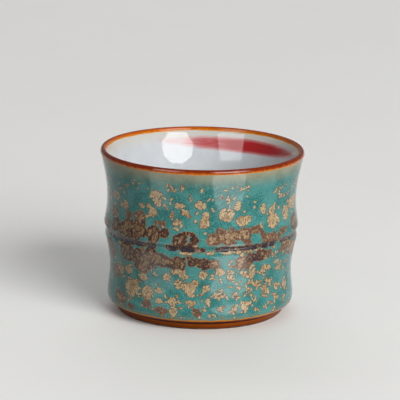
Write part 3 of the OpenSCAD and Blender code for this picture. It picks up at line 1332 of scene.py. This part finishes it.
@dataclass(frozen=True)
class EdgeFinish:
    """Thin runny glaze low on the cup: one colour where it lies thick and one where it is thin.

    A line of painted shade follows one of its edges, over a range of heights from that edge.
    """

    name: str
    thick: Colour
    thin: Colour
    painted_shade: Layer
    gloss: Gloss
    speck_turn: Range = (0.55, 0.8)
    speck_share: float = 0.35
    thick_sway: float = 0.8
    shade_sway: float = 0.2
    high_grain: float = 0.3
    cloud: Noise = Noise(1.5, Detail.RICH, (1.0, 1.0, 3.0))
    grain: Noise = Noise(0.35)

    def material(self, low: float, high: float, shaded: float) -> bpy.types.Material:
        """Builds the material: by height from thin to thick, with a line of painted shade at one edge.

        Args:
            low: Height at which the glaze is thin.
            high: Height at which it is thick.
            shaded: Height of the edge along which the shade is painted.

        Returns:
            The material.
        """
        make = Shader.named(self.name)
        cloud, grain, height = make.noise(self.cloud), make.noise(self.grain), make.height()
        thick = Layer(self.thick, (low, high))
        specks = Layer(self.thin, self.speck_turn, self.speck_share)
        colour = thick.over(self.thin, height + cloud.sway(self.thick_sway))
        colour = specks.over(colour, grain)
        # Painted shade: darkens the glaze along one edge, where the hem overhangs the foot
        colour = self.painted_shade.over(colour, height - shaded + cloud.sway(self.shade_sway))
        return self.gloss.material(colour, grain, cloud + grain * self.high_grain)


HEM_AMBER = EdgeFinish(
    name="hem_amber",
    thick=seen(236, 148, 14),
    thin=seen(208, 100, 0),
    # Painted shade on the hem's lower roll, where it overhangs the foot
    painted_shade=Layer(seen(84, 20, 2), (0.1, -0.04)),
    gloss=Gloss(dull=0.06, varied=0.15, relief=0.04, density=1.25),
)
# Towards the floor the brown darkens: partly the wash's own colour, partly painted shade near the floor
FOOT_BROWN = EdgeFinish(
    name="foot_brown",
    thick=seen(176, 84, 6),
    thin=seen(116, 52, 4),
    # Painted shade at the top of the foot, in the undercut under the hem
    painted_shade=Layer(seen(70, 14, 2), (-0.5, -0.25)),
    gloss=Gloss(dull=0.3, varied=0.15, relief=0.04, density=1.2),
)


@dataclass(frozen=True)
class LinerFinish:
    """The white of the bowl, with the red brush stroke where the mesh carries it."""

    name: str
    white: Colour = seen(204, 207, 210)
    cool: Layer = Layer(seen(198, 203, 207), (0.35, 0.65))
    cream: Layer = Layer(seen(204, 197, 183), (-4.5, 0.0), 0.75)
    pink: Layer = Layer(seen(204, 132, 132), (0.02, 0.55), 0.95)
    red: Layer = Layer(seen(174, 34, 38), (0.28, 0.95))
    level_sway: float = 2.0
    hair_turn: Range = (0.0, 0.4)
    hair_sway: float = 0.35
    hair: Noise = Noise(0.45, stretch=(0.14, 0.14, 1.4))
    cloud: Noise = Noise(6.0, Detail.RICH)
    speck: Noise = Noise(0.5, Detail.PLAIN)
    gloss: Gloss = Gloss(dull=0.01, varied=0.015, relief=0.01, density=1.42)

    def material(self, top: float) -> bpy.types.Material:
        """Builds the material.

        Args:
            top: Height at which the white ends under the lip.

        Returns:
            The material.
        """
        make = Shader.named(self.name)
        cloud, brush = make.noise(self.cloud), make.painted("brush")
        hairs = make.noise(self.hair).sway(self.hair_sway)
        brush = brush + hairs * brush.rise(*self.hair_turn)
        colour = self.cool.over(self.white, cloud)
        colour = self.cream.over(colour, make.height() - top + cloud.sway(self.level_sway))
        colour = self.red.over(self.pink.over(colour, brush), brush)
        return self.gloss.material(colour, make.noise(self.speck), cloud)


@dataclass(frozen=True)
class ClayFinish:
    """Bare fired stoneware, gritty and brown."""

    pale: Colour = seen(150, 112, 80)
    dark: Layer = Layer(seen(104, 70, 44), (0.35, 0.65))
    specks: Layer = Layer(seen(104, 70, 44), (0.62, 0.7), 0.6)
    cloud: Noise = Noise(4.0, Detail.FULL)
    grit: Noise = Noise(0.3)
    gloss: Gloss = Gloss(dull=0.6, varied=0.2, relief=0.05, density=1.5)

    def material(self) -> bpy.types.Material:
        """Builds the material.

        Returns:
            The material.
        """
        make = Shader.named("bare_clay")
        cloud, grit = make.noise(self.cloud), make.noise(self.grit)
        colour = self.specks.over(self.dark.over(self.pale, cloud), grit)
        return self.gloss.material(colour, grit, grit + cloud)


@dataclass(frozen=True)
class BaseFinish:
    """Thin clear glaze in the recess, over clay that shows through."""

    clear: Colour = seen(184, 168, 138)
    clay: Layer = Layer(seen(142, 112, 80), (0.4, 0.7))
    specks: Layer = Layer(seen(142, 112, 80), (0.66, 0.72), 0.7)
    high_grit: float = 0.2
    cloud: Noise = Noise(3.0, Detail.FULL)
    grit: Noise = Noise(0.35, Detail.PLAIN)
    gloss: Gloss = Gloss(dull=0.12, varied=0.15, relief=0.04, density=1.45)

    def material(self) -> bpy.types.Material:
        """Builds the material.

        Returns:
            The material.
        """
        make = Shader.named("base_clear")
        cloud, grit = make.noise(self.cloud), make.noise(self.grit)
        colour = self.specks.over(self.clay.over(self.clear, cloud), grit)
        return self.gloss.material(colour, cloud, cloud + grit * self.high_grit)


# The cup


class SubAssembly:
    """What every sub-assembly does with a finished piece."""

    @staticmethod
    def settle(
        piece: bpy.types.Object, node: str, slot: str, material: bpy.types.Material
    ) -> bpy.types.Object:
        """Dresses a piece, sets it on its body and hides its CAD node.

        Args:
            piece: The piece.
            node: CAD node that it stands for.
            slot: Not used.
            material: Its finish.

        Returns:
            The piece.
        """
        piece.data.materials.append(material)
        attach(piece, BODY)
        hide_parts(node)
        return piece


@dataclass
class BambooWall(SubAssembly):
    """The turquoise coat on the outside of the wall, and the iron line in its crease."""

    line: WallLine
    iron: IronDashes = IronDashes()
    columns: int = 600
    rows: int = 156
    back_rows: int = 8
    lap: float = 0.3
    bead_columns: int = 720
    bead_rows: int = 15
    bead_reach: float = 0.45
    bead_thin: float = 0.35
    bead_stand: float = 0.1
    bead_sink: float = 0.1
    bead_peak: float = 0.2
    bead_back: float = 0.3

    def __post_init__(self) -> None:
        """Measures the coat and the crease on their CAD nodes."""
        coat = TurnedNode.read("outer_glaze")
        bead = TurnedNode.read("node_line")
        self.low, self.high = float(coat.levels[0]), float(coat.levels[-1])
        self.coat = coat.widest[0] - coat.narrowest[0]
        self.bead_low, self.bead_high = bead.levels[0], bead.levels[-1]
        self.bead_radius = bead.widest.max()
        self.crease = float(bead.levels[np.argmin(bead.narrowest)])

    def build(self) -> list[bpy.types.Object]:
        """Makes the coat and the iron line."""
        return [self.glaze(), self.bead()]

    def glaze(self) -> bpy.types.Object:
        """Makes the coat: up its face and down its back, with the crystals at its vertices.

        Returns:
            The coat.
        """
        bearing = around(self.columns)
        face = np.linspace(self.low - self.lap, self.high + self.lap, self.rows)
        back = np.linspace(self.high + self.lap, self.low - self.lap, self.back_rows)
        height = np.concatenate([face, back])
        radius = np.concatenate([self.line.at(face), self.line.at(back) - self.coat])
        growth = CrystalGrowth(float(self.line.radius.mean()), self.crease, self.iron)
        painted = growth.measure(bearing, height, radius)
        painted["pool"] = self.iron.pool(bearing, height, self.crease)
        points = carried_round(radius, height, bearing)
        coat = closed_mesh("turquoise_coat", points, Wrap.RING, painted)
        finish = TurquoiseFinish().material(self.low, self.high)
        return self.settle(coat, "outer_glaze", "turquoise_glaze", finish)

    def bead(self) -> bpy.types.Object:
        """Makes the iron line: it fills the crease in the dashes and sinks away between them.

        Returns:
            The line.
        """
        bearing = around(self.bead_columns)
        fill = self.iron.strength(bearing)
        share = np.linspace(-1.0, 1.0, self.bead_rows)[:, None]
        middle = (self.bead_low + self.bead_high) / 2.0 + self.iron.sway.at(bearing)
        half = (self.bead_high - self.bead_low) / 2.0 + self.bead_reach
        face = middle + half * up_from(self.bead_thin, fill) * share
        depth = self.bead_radius - self.line.at(face)
        swell = np.maximum(depth + self.bead_stand, -self.bead_sink) * fill
        swell = np.minimum(swell - self.bead_sink * (1.0 - fill), self.bead_peak)
        front = self.line.at(face) + swell
        back = self.line.at(face[::-1]) - self.bead_back
        radius = np.concatenate([front, back])
        height = np.concatenate([face, face[::-1]])
        bead = closed_mesh("iron_dashes", carried_round(radius, height, bearing), Wrap.RING)
        return self.settle(bead, "node_line", "iron_line", IronFinish().material())


@dataclass
class Lip(SubAssembly):
    """The amber glaze over the lip."""

    wall: WallLine
    lip: LipLine
    bowl: BowlLine
    columns: int = 480
    side_rows: int = 8
    crest_rows: int = 13
    out_drip: Ripple = Ripple(0.1, (11, 19, 31, 47), 21)
    in_drip: Ripple = Ripple(0.1, (7, 13, 29), 22)
    stand: float = 0.05
    sink: float = 0.06
    sink_power: int = 4
    core_share: float = 0.55
    core_drop: float = 0.25

    def build(self) -> list[bpy.types.Object]:
        """Makes the coat."""
        return [self.coat()]

    def coat(self) -> bpy.types.Object:
        """Makes the coat: its lower edges run down unevenly and thin out to nothing.

        Returns:
            The coat.
        """
        bearing = around(self.columns)
        share = np.linspace(0.0, 1.0, self.side_rows, endpoint=False)[:, None]
        out_edge = TurnedNode.read("lip_glaze").levels[0] + self.out_drip.at(bearing)
        in_edge = self.bowl.top + self.in_drip.at(bearing)
        out_z = out_edge + (self.lip.wide_height - out_edge) * share
        in_z = in_edge + (self.lip.in_height - in_edge) * share[::-1]
        lift = self.stand * arch(share) - self.sink * (1.0 - share) ** self.sink_power
        crest_r, crest_z = (
            repeated(part, self.columns) for part in self.lip.over(self.crest_rows, 0.0).T
        )
        out_r = self.wall.at(out_z) + lift
        in_r = self.bowl.at(in_z) - lift[::-1]
        face_r = np.concatenate([out_r, crest_r, in_r])
        face_z = np.concatenate([out_z, crest_z, in_z])
        core_r = self.lip.crest_radius + (face_r[::-2] - self.lip.crest_radius) * self.core_share
        core_z = face_z[::-2] - self.core_drop
        over = np.linspace(0.0, 1.0, len(face_r))
        over = np.concatenate([over, over[::-2]])
        radius = np.concatenate([face_r, core_r])
        height = np.concatenate([face_z, core_z])
        points = carried_round(radius, height, bearing)
        painted = {"over": repeated(over, self.columns)}
        coat = closed_mesh("amber_lip", points, Wrap.RING, painted)
        return self.settle(coat, "lip_glaze", "lip_amber", AmberFinish().material())


@dataclass
class Bowl(SubAssembly):
    """The white liner of the bowl and the red stroke brushed on its wall."""

    line: BowlLine
    lap: float = 0.2
    columns: int = 360
    face_counts: tuple[int, int, int] = (12, 20, 70)
    back_counts: tuple[int, int, int] = (4, 8, 14)
    stroke_columns: int = 300
    stroke_rows: int = 28
    stroke_middle: float = 22.0
    stroke_half: float = 60.0
    stroke_powers: Range = (2.3, 3.0)
    stroke_tip: float = 0.1
    stroke_soft: float = 1.25
    stroke_above: float = 0.2
    stroke_margin: float = 1.2
    stroke_tip_margin: float = 0.01
    stroke_stand: float = 0.02
    stroke_edge: float = 0.008
    stroke_sink: float = 0.2
    # By how much the colour grows along the stroke, and from which angle to which
    stroke_growth: tuple[tuple[float, float, float], ...] = (
        (0.26, -38.0, -27.0), (0.4, -18.0, 2.0), (0.34, 4.0, 28.0), (-0.4, 42.0, 80.0),
    )

    def __post_init__(self) -> None:
        """Measures the stroke on its CAD node."""
        node = TurnedNode.read("brush_stroke")
        self.stroke_low, self.stroke_high = node.levels[0], node.levels[-1]

    def build(self) -> list[bpy.types.Object]:
        """Makes the liner and the stroke."""
        return [self.liner(), self.stroke()]

    def liner(self) -> bpy.types.Object:
        """Makes the liner: along its face from the floor to the lip, and back down its back.

        Returns:
            The liner.
        """
        top = self.line.top + self.lap
        face = self.line.outline(top, 0.0, self.face_counts)
        back = self.line.outline(top, self.line.coat, self.back_counts)
        outline = np.concatenate([face, back[::-1]])
        points = carried_round(outline[:, 0], outline[:, 1], around(self.columns))
        painted = {"brush": np.zeros(points.shape[:2])}
        liner = closed_mesh("white_bowl", points, Wrap.POLES, painted)
        finish = LinerFinish("white_liner").material(self.line.top)
        return self.settle(liner, "inner_glaze", "white_liner", finish)

    def stroke(self) -> bpy.types.Object:
        """Makes the stroke: a thin crescent on the wall whose edges sink into the liner.

        Its lower edge rises from the fullest part towards each tip by a power of the angle. The
        colour is full in the middle, fades to nothing at the edges and thins towards the tips.

        Returns:
            The stroke.
        """
        turn = np.linspace(-1.0, 1.0, self.stroke_columns)
        angle = self.stroke_middle + self.stroke_half * turn
        power = np.where(turn < 0.0, *self.stroke_powers)
        top = self.stroke_high + self.stroke_above
        wide = (top - self.stroke_low) * (1.0 - np.abs(turn) ** power)
        low = top - wide
        tip = smooth_step(1.0 - np.abs(turn), 0.0, self.stroke_tip)
        margin = self.stroke_tip_margin + self.stroke_margin * tip
        share = np.linspace(0.0, 1.0, self.stroke_rows)[:, None]
        height = low - margin + (wide + 2.0 * margin) * share
        stand = self.stroke_stand * arch(share) * tip
        face_r = self.line.at(height) - stand + self.stroke_edge
        back_r = self.line.at(height[::-1]) + self.stroke_sink * tip + 2.0 * self.stroke_edge
        brush = smooth_step(height - low, -self.stroke_soft, self.stroke_soft)
        brush = brush * smooth_step(top - height, -self.stroke_soft, self.stroke_soft)
        steps = [grow * smooth_step(angle, start, stop) for grow, start, stop in self.stroke_growth]
        brush = brush * np.sum(steps, axis=0)
        painted = {"brush": np.concatenate([brush, np.zeros_like(brush)])}
        points = carried_round(
            np.concatenate([face_r, back_r]),
            np.concatenate([height, height[::-1]]),
            HALF_TURN - np.radians(angle),
        )
        stroke = closed_mesh("red_brush_stroke", points, Wrap.TUBE, painted)
        finish = LinerFinish("red_stroke").material(self.line.top)
        return self.settle(stroke, "brush_stroke", "red_stroke", finish)


@dataclass
class Foot(SubAssembly):
    """The clay with its foot ring, and the coats low on the cup and under it."""

    wall: WallLine
    lip: LipLine
    bowl: BowlLine
    columns: int = 300
    clay_rows: int = 150
    clay_softness: float = 0.35
    clay_wall_rows: int = 60
    clay_crest_rows: int = 7
    clay_counts: tuple[int, int, int] = (4, 12, 40)
    hem_columns: int = 480
    hem_rows: int = 9
    hem_under_rows: int = 7
    hem_above: float = 0.25
    hem_run: Ripple = Ripple(0.12, (9, 23, 41), 31)
    hem_stand: float = 0.06
    hem_sink: float = 0.02
    hem_out: float = 0.04
    hem_roll: float = 0.12
    wash_rows: int = 26
    wash_softness: float = 0.3
    wash_gap: float = 0.1
    wash_back: float = 0.2
    wash_lift: float = 0.05
    wash_run: Ripple = Ripple(0.1, (13, 27, 43), 41)
    wash_run_reach: float = 0.6
    base_columns: int = 180
    base_rows: int = 90
    base_edge: float = 0.05
    base_back: float = 0.3
    base_lap: float = 0.1
    groove_depth: float = 0.05
    groove_pitch: float = 2.4
    groove_middle: Range = (0.5, 4.0)
    groove_rim: Range = (0.5, 3.0)

    def __post_init__(self) -> None:
        """Measures the hem, the foot and the recess on their CAD nodes."""
        clay = TurnedNode.read("clay_body")
        hem = TurnedNode.read("hem_glaze")
        wash = TurnedNode.read("foot_wash")
        base = TurnedNode.read("base_glaze")
        self.ring_out, self.ring_in = clay.widest[0], clay.narrowest[0]
        self.hem_low, self.hem_high = hem.levels[0], hem.levels[-1]
        self.hem_radius, self.hem_back = hem.widest[0], hem.narrowest[0]
        self.wash_low, self.foot_top = wash.levels[0], wash.levels[-2]
        self.wash_low_r, self.wash_high_r = wash.widest[0], wash.widest[-1]
        self.foot_radius = wash.widest[-2]
        self.base_face, self.recess = base.levels[0], base.levels[-1]
        self.base_radius, self.recess_radius = base.widest[0], base.widest[-1]
        self.coat = self.wall.at(self.hem_high) - hem.narrowest[-1]

    def build(self) -> list[bpy.types.Object]:
        """Makes the clay, the hem, the wash on the foot and the glaze under the cup."""
        return [self.clay(), self.hem(), self.wash(), self.base()]

    def clay(self) -> bpy.types.Object:
        """Makes the clay: from the middle of the recess round the foot, wall and lip, and back.

        Returns:
            The clay.
        """
        wall_z = np.linspace(self.hem_low, self.lip.wide_height, self.clay_wall_rows)
        wall = np.stack([self.wall.at(wall_z) - self.coat, wall_z], axis=-1)
        foot = np.array([
            [AXIS_HOLE, self.recess], [self.recess_radius, self.recess], [self.ring_in, 0.0],
            [self.ring_out, 0.0], [self.foot_radius, self.foot_top],
        ])
        crest = self.lip.over(self.clay_crest_rows, self.lip.coat)
        inside = self.bowl.outline(self.lip.in_height, self.bowl.coat, self.clay_counts)
        outline = np.concatenate([foot, wall, crest[1:-1], inside[::-1]])
        outline = paced(outline, self.clay_rows, self.clay_softness)
        bearing = around(self.columns)
        points = carried_round(outline[:, 0], np.maximum(outline[:, 1], 0.0), bearing)
        clay = closed_mesh("thrown_clay", points, Wrap.POLES)
        return self.settle(clay, "clay_body", "clay", ClayFinish().material())

    def hem(self) -> bpy.types.Object:
        """Makes the hem: a thin rolled edge where the coat ends, a little uneven above.

        Returns:
            The hem.
        """
        bearing = around(self.hem_columns)
        edge = self.hem_high + self.hem_above + self.hem_run.at(bearing)
        share = np.linspace(0.0, 1.0, self.hem_rows)[:, None]
        face_z = self.hem_low + (edge - self.hem_low) * share
        stand = self.hem_stand * np.cos(QUARTER_TURN * share) - self.hem_sink
        face_r = self.wall.at(face_z) + stand
        turn = np.linspace(0.0, HALF_TURN, self.hem_under_rows)[1:-1]
        thick = (self.hem_radius - self.hem_back) / 2.0
        under_r = self.hem_radius + self.hem_out - thick - thick * np.cos(turn)
        under_z = self.hem_low - self.hem_roll * np.sin(turn)
        back_z = face_z[::-2]
        back_r = self.wall.at(back_z) - 2.0 * thick
        radius = np.concatenate([face_r, back_r, repeated(under_r, self.hem_columns)])
        height = np.concatenate([face_z, back_z, repeated(under_z, self.hem_columns)])
        hem = closed_mesh("amber_hem", carried_round(radius, height, bearing), Wrap.RING)
        finish = HEM_AMBER.material(self.hem_low, self.hem_high, self.hem_low)
        return self.settle(hem, "hem_glaze", "hem_amber", finish)

    def wash(self) -> bpy.types.Object:
        """Makes the wash: up the outside of the foot and out under the hem.

        Returns:
            The wash.
        """
        bearing = around(self.columns)
        gap = self.wash_gap
        thick = self.wash_high_r - self.foot_radius
        face = np.array([
            [self.wash_low_r - thick, self.wash_low], [self.wash_low_r, self.wash_low + gap],
            [self.wash_high_r, self.foot_top - gap], [self.hem_back, self.hem_low - gap],
        ])
        back = np.array([
            [self.hem_back, self.hem_low + gap],
            [self.foot_radius - self.wash_back, self.foot_top + self.wash_back],
            [self.wash_low_r - 2.0 * thick, self.wash_low + self.wash_lift],
        ])
        outline = np.concatenate([paced(face, self.wash_rows, self.wash_softness), back])
        radius, height = (repeated(part, self.columns) for part in outline.T)
        reach = self.wash_run_reach
        low = smooth_step(self.wash_low + reach - height, 0.0, reach)
        height = height + self.wash_run.at(bearing) * low
        wash = closed_mesh("brown_foot_wash", carried_round(radius, height, bearing), Wrap.RING)
        finish = FOOT_BROWN.material(self.wash_low, self.foot_top, self.foot_top)
        return self.settle(wash, "foot_wash", "foot_brown", finish)

    def base(self) -> bpy.types.Object:
        """Makes the glaze in the recess, with the shallow spiral that the trimming tool left.

        Returns:
            The glaze.
        """
        bearing = around(self.base_columns)
        face_r = np.linspace(AXIS_HOLE, self.base_radius - self.base_edge, self.base_rows)
        edge_r = np.array([self.base_radius, self.recess_radius])
        back_r = np.array([self.recess_radius - self.base_back, AXIS_HOLE])
        wave = np.cos(FULL_TURN * face_r[:, None] / self.groove_pitch - bearing)
        fade = smooth_step(face_r, *self.groove_middle)
        fade = fade * smooth_step(self.base_radius - face_r, *self.groove_rim)
        face_z = self.base_face + self.groove_depth * wave * fade[:, None]
        behind = self.recess + self.base_lap
        rest_z = np.array([self.base_face + self.base_lap, self.recess, behind, behind])
        radius = np.concatenate([face_r, edge_r, back_r])
        height = np.concatenate([face_z, repeated(rest_z, self.base_columns)])
        points = carried_round(radius, height, bearing)
        base = closed_mesh("clear_base", points, Wrap.POLES)
        return self.settle(base, "base_glaze", "base_clear", BaseFinish().material())


# The studio


@dataclass(frozen=True)
class Panel:
    """A glowing panel: where it stands, the angles that it spans there, and its glow."""

    name: str
    bearing: float
    width: float
    height: float
    corners: int
    glow: float
    lights: bool = True
    mirrored: bool = True
    away: float = 2.0

    def across(self) -> Vector:
        """The level direction along the panel."""
        turn = math.radians(self.bearing)
        return Vector((math.cos(turn), math.sin(turn), 0.0))

    def stand(self, target: Vector) -> tuple[Vector, Vector, Vector]:
        """Gives the panel's middle and its directions across and up."""
        raise NotImplementedError

    def build(self, target: Vector) -> bpy.types.Object:
        """Makes the panel as a flat ring of corners round its middle, glowing on one side.

        Args:
            target: The point that the panels stand round.

        Returns:
            The panel, which only light and reflections see.
        """
        middle, right, up = self.stand(target)
        step = FULL_TURN / self.corners
        grow = self.away / math.cos(step / 2.0)
        half_wide = right * math.tan(math.radians(self.width / 2.0)) * grow
        half_high = up * math.tan(math.radians(self.height / 2.0)) * grow
        turns = [-step * (number + 0.5) for number in range(self.corners)]
        spots = [middle + half_wide * math.cos(a) + half_high * math.sin(a) for a in turns]
        mesh = bpy.data.meshes.new(self.name)
        mesh.from_pydata(spots, [], [tuple(range(self.corners))])
        panel = bpy.data.objects.new(self.name, mesh)
        make = Shader.named(self.name)
        glow = make.node("ShaderNodeEmission", inputs={"Strength": self.glow})
        clear = make.node("ShaderNodeBsdfTransparent")
        behind = make.node("ShaderNodeNewGeometry", output="Backfacing")
        shown = make.node("ShaderNodeMixShader", inputs={0: behind, 1: glow, 2: clear})
        make.node("ShaderNodeOutputMaterial", inputs={"Surface": shown})
        mesh.materials.append(make.owner)
        panel.visible_camera = False
        panel.visible_shadow = False
        panel.visible_diffuse = self.lights
        panel.visible_glossy = self.mirrored
        bpy.context.scene.collection.objects.link(panel)
        return panel


@dataclass(frozen=True)
class Softbox(Panel):
    """A panel that stands above the floor and faces the cup."""

    elevation: float = 30.0

    def stand(self, target: Vector) -> tuple[Vector, Vector, Vector]:
        """Sets the panel square to the target, at its elevation.

        Args:
            target: The point that it faces.

        Returns:
            Its middle and its directions across and up.
        """
        level = math.radians(self.elevation)
        towards = self.across().cross(UP) * math.cos(level)
        towards.z = math.sin(level)
        return target + towards * self.away, self.across(), towards.cross(self.across())


@dataclass(frozen=True)
class FloorCard(Panel):
    """A panel that lies on the floor beside the cup and shows in its gloss."""

    lift: float = 0.5

    def stand(self, target: Vector) -> tuple[Vector, Vector, Vector]:
        """Lays the card level, straight out from the foot of the cup.

        Args:
            target: The point that the panels stand round.

        Returns:
            Its middle and its directions across and out.
        """
        out = self.across().cross(UP)
        foot = Vector((target.x, target.y, self.lift * MM))
        return foot + out * self.away, self.across(), out


@dataclass
class Studio:
    """The pale floor, the panels, the soft sky and the camera."""

    aim: tuple[float, float, float] = (-0.54, 0.0, 38.12)
    distance: float = 900.0
    elevation: float = 13.883
    roll: float = 0.9715
    focal_pixels: float = 2609.3
    sensor: float = 36.0
    floor_radii: tuple[float, ...] = (200.0, 1000.0, 6000.0)
    floor_columns: int = 96
    floor_pale: Colour = seen(250, 249, 246)
    floor_bounce: Colour = seen(150, 149, 146)
    floor_cloud: Noise = Noise(60.0)
    floor_cloud_share: float = 0.05
    floor_glow: Colour = (0.03, 0.03, 0.03)
    no_glow: Colour = (0.0, 0.0, 0.0)
    floor_dull: float = 0.6
    floor_shine: float = 0.2
    floor_gloss: float = 0.15
    floor_gloss_dull: float = 0.08
    sky: float = 0.27
    panels: tuple[Panel, ...] = (
        Softbox("octagon_softbox", 35.5, 38.5, 33.0, 8, 9.4, elevation=29.0),
        Softbox("strip_softbox", -41.0, 30.0, 29.0, 4, 5.0, lights=False, elevation=31.0),
        Softbox("rear_softbox", -172.0, 60.0, 40.0, 4, 1.5, mirrored=False),
        FloorCard("right_card", 29.5, 33.0, 51.0, 8, 6.5, lights=False, away=0.1),
        FloorCard("left_card", -45.0, 24.0, 46.0, 4, 2.6, lights=False, away=0.1),
    )

    def build(self) -> None:
        """Sets up the whole studio."""
        scene = bpy.context.scene
        scene.view_settings.view_transform = "Standard"
        target = Vector((0.0, 0.0, self.aim[2] * MM))
        for panel in self.panels:
            panel.build(target)
        self.floor()
        self.world()
        scene.camera = self.camera()

    def floor(self) -> None:
        """Makes the floor: rings of quads round one flat disc.

        What the camera and mirrors see of it is pale, and the light that it throws back up is
        less, so that the cup isn't lit from below.
        """
        bearing = around(self.floor_columns)
        radius = np.array(self.floor_radii)[:, None]
        flat = np.zeros((len(radius), len(bearing)))
        spots = np.stack([radius * np.sin(bearing), radius * np.cos(bearing), flat], axis=-1)
        grid = np.arange(flat.size).reshape(flat.shape)
        grid = np.concatenate([grid, grid[:, :1]], axis=1)
        faces = np.stack([grid[:-1, :-1], grid[1:, :-1], grid[1:, 1:], grid[:-1, 1:]], axis=-1)
        disc = tuple(range(len(bearing) - 1, -1, -1))
        mesh = bpy.data.meshes.new("floor")
        quads = faces.reshape(-1, 4).tolist()
        mesh.from_pydata((spots.reshape(-1, 3) * MM).tolist(), [], [disc, *quads])
        floor = bpy.data.objects.new("floor", mesh)
        make = Shader.named("pale_floor")
        rays = [
            make.node("ShaderNodeLightPath", output=f"Is {kind} Ray")
            for kind in ("Camera", "Glossy", "Transmission")
        ]
        watched = rays[0].at_least(rays[1]).at_least(rays[2])
        cloud = make.noise(self.floor_cloud) * self.floor_cloud_share
        paper = make.blend(cloud, self.floor_pale, self.floor_bounce)
        finish = make.surface(
            make.blend(watched, self.floor_bounce, paper),
            self.floor_dull,
            Specular_IOR_Level=self.floor_shine,
            Coat_Weight=self.floor_gloss,
            Coat_Roughness=self.floor_gloss_dull,
            Emission_Color=make.blend(watched, self.no_glow, self.floor_glow),
            Emission_Strength=1.0,
        )
        mesh.materials.append(finish)
        bpy.context.scene.collection.objects.link(floor)

    def world(self) -> None:
        """Makes the sky: one soft pale grey all round."""
        world = bpy.data.worlds.new("soft_sky")
        bpy.context.scene.world = world
        make = Shader(world)
        sky = make.node("ShaderNodeBackground", inputs={"Strength": self.sky})
        make.node("ShaderNodeOutputWorld", inputs={"Surface": sky})

    def camera(self) -> bpy.types.Object:
        """Makes the camera: above and in front of the cup, rolled a little.

        Returns:
            The camera.
        """
        level = math.radians(self.elevation)
        back = Vector((0.0, -math.cos(level), math.sin(level)))
        right = Matrix.Rotation(math.radians(self.roll), 3, back) @ Vector((1.0, 0.0, 0.0))
        up = back.cross(right)
        data = bpy.data.cameras.new("camera")
        data.sensor_width = self.sensor
        data.lens = self.focal_pixels * self.sensor / PICTURE_SIDE
        camera = bpy.data.objects.new("camera", data)
        place = (Vector(self.aim) + back * self.distance) * MM
        turned = Matrix((right, up, back)).transposed().to_4x4()
        camera.matrix_world = Matrix.Translation(place) @ turned
        bpy.context.scene.collection.objects.link(camera)
        return camera


def main() -> None:
    """Builds the cup and the studio."""
    logging.basicConfig(level=logging.INFO, format="%(message)s")
    wall = WallLine.measured()
    lip = LipLine.measured()
    bowl = BowlLine.measured(lip)
    for part in (Foot(wall, lip, bowl), BambooWall(wall), Bowl(bowl), Lip(wall, lip, bowl)):
        for piece in part.build():
            count = sum(len(face.vertices) - 2 for face in piece.data.polygons)
            LOG.info("%s: %s, %d triangles", type(part).__name__, piece.name, count)
    Studio().build()


if __name__ == "__main__":
    main()
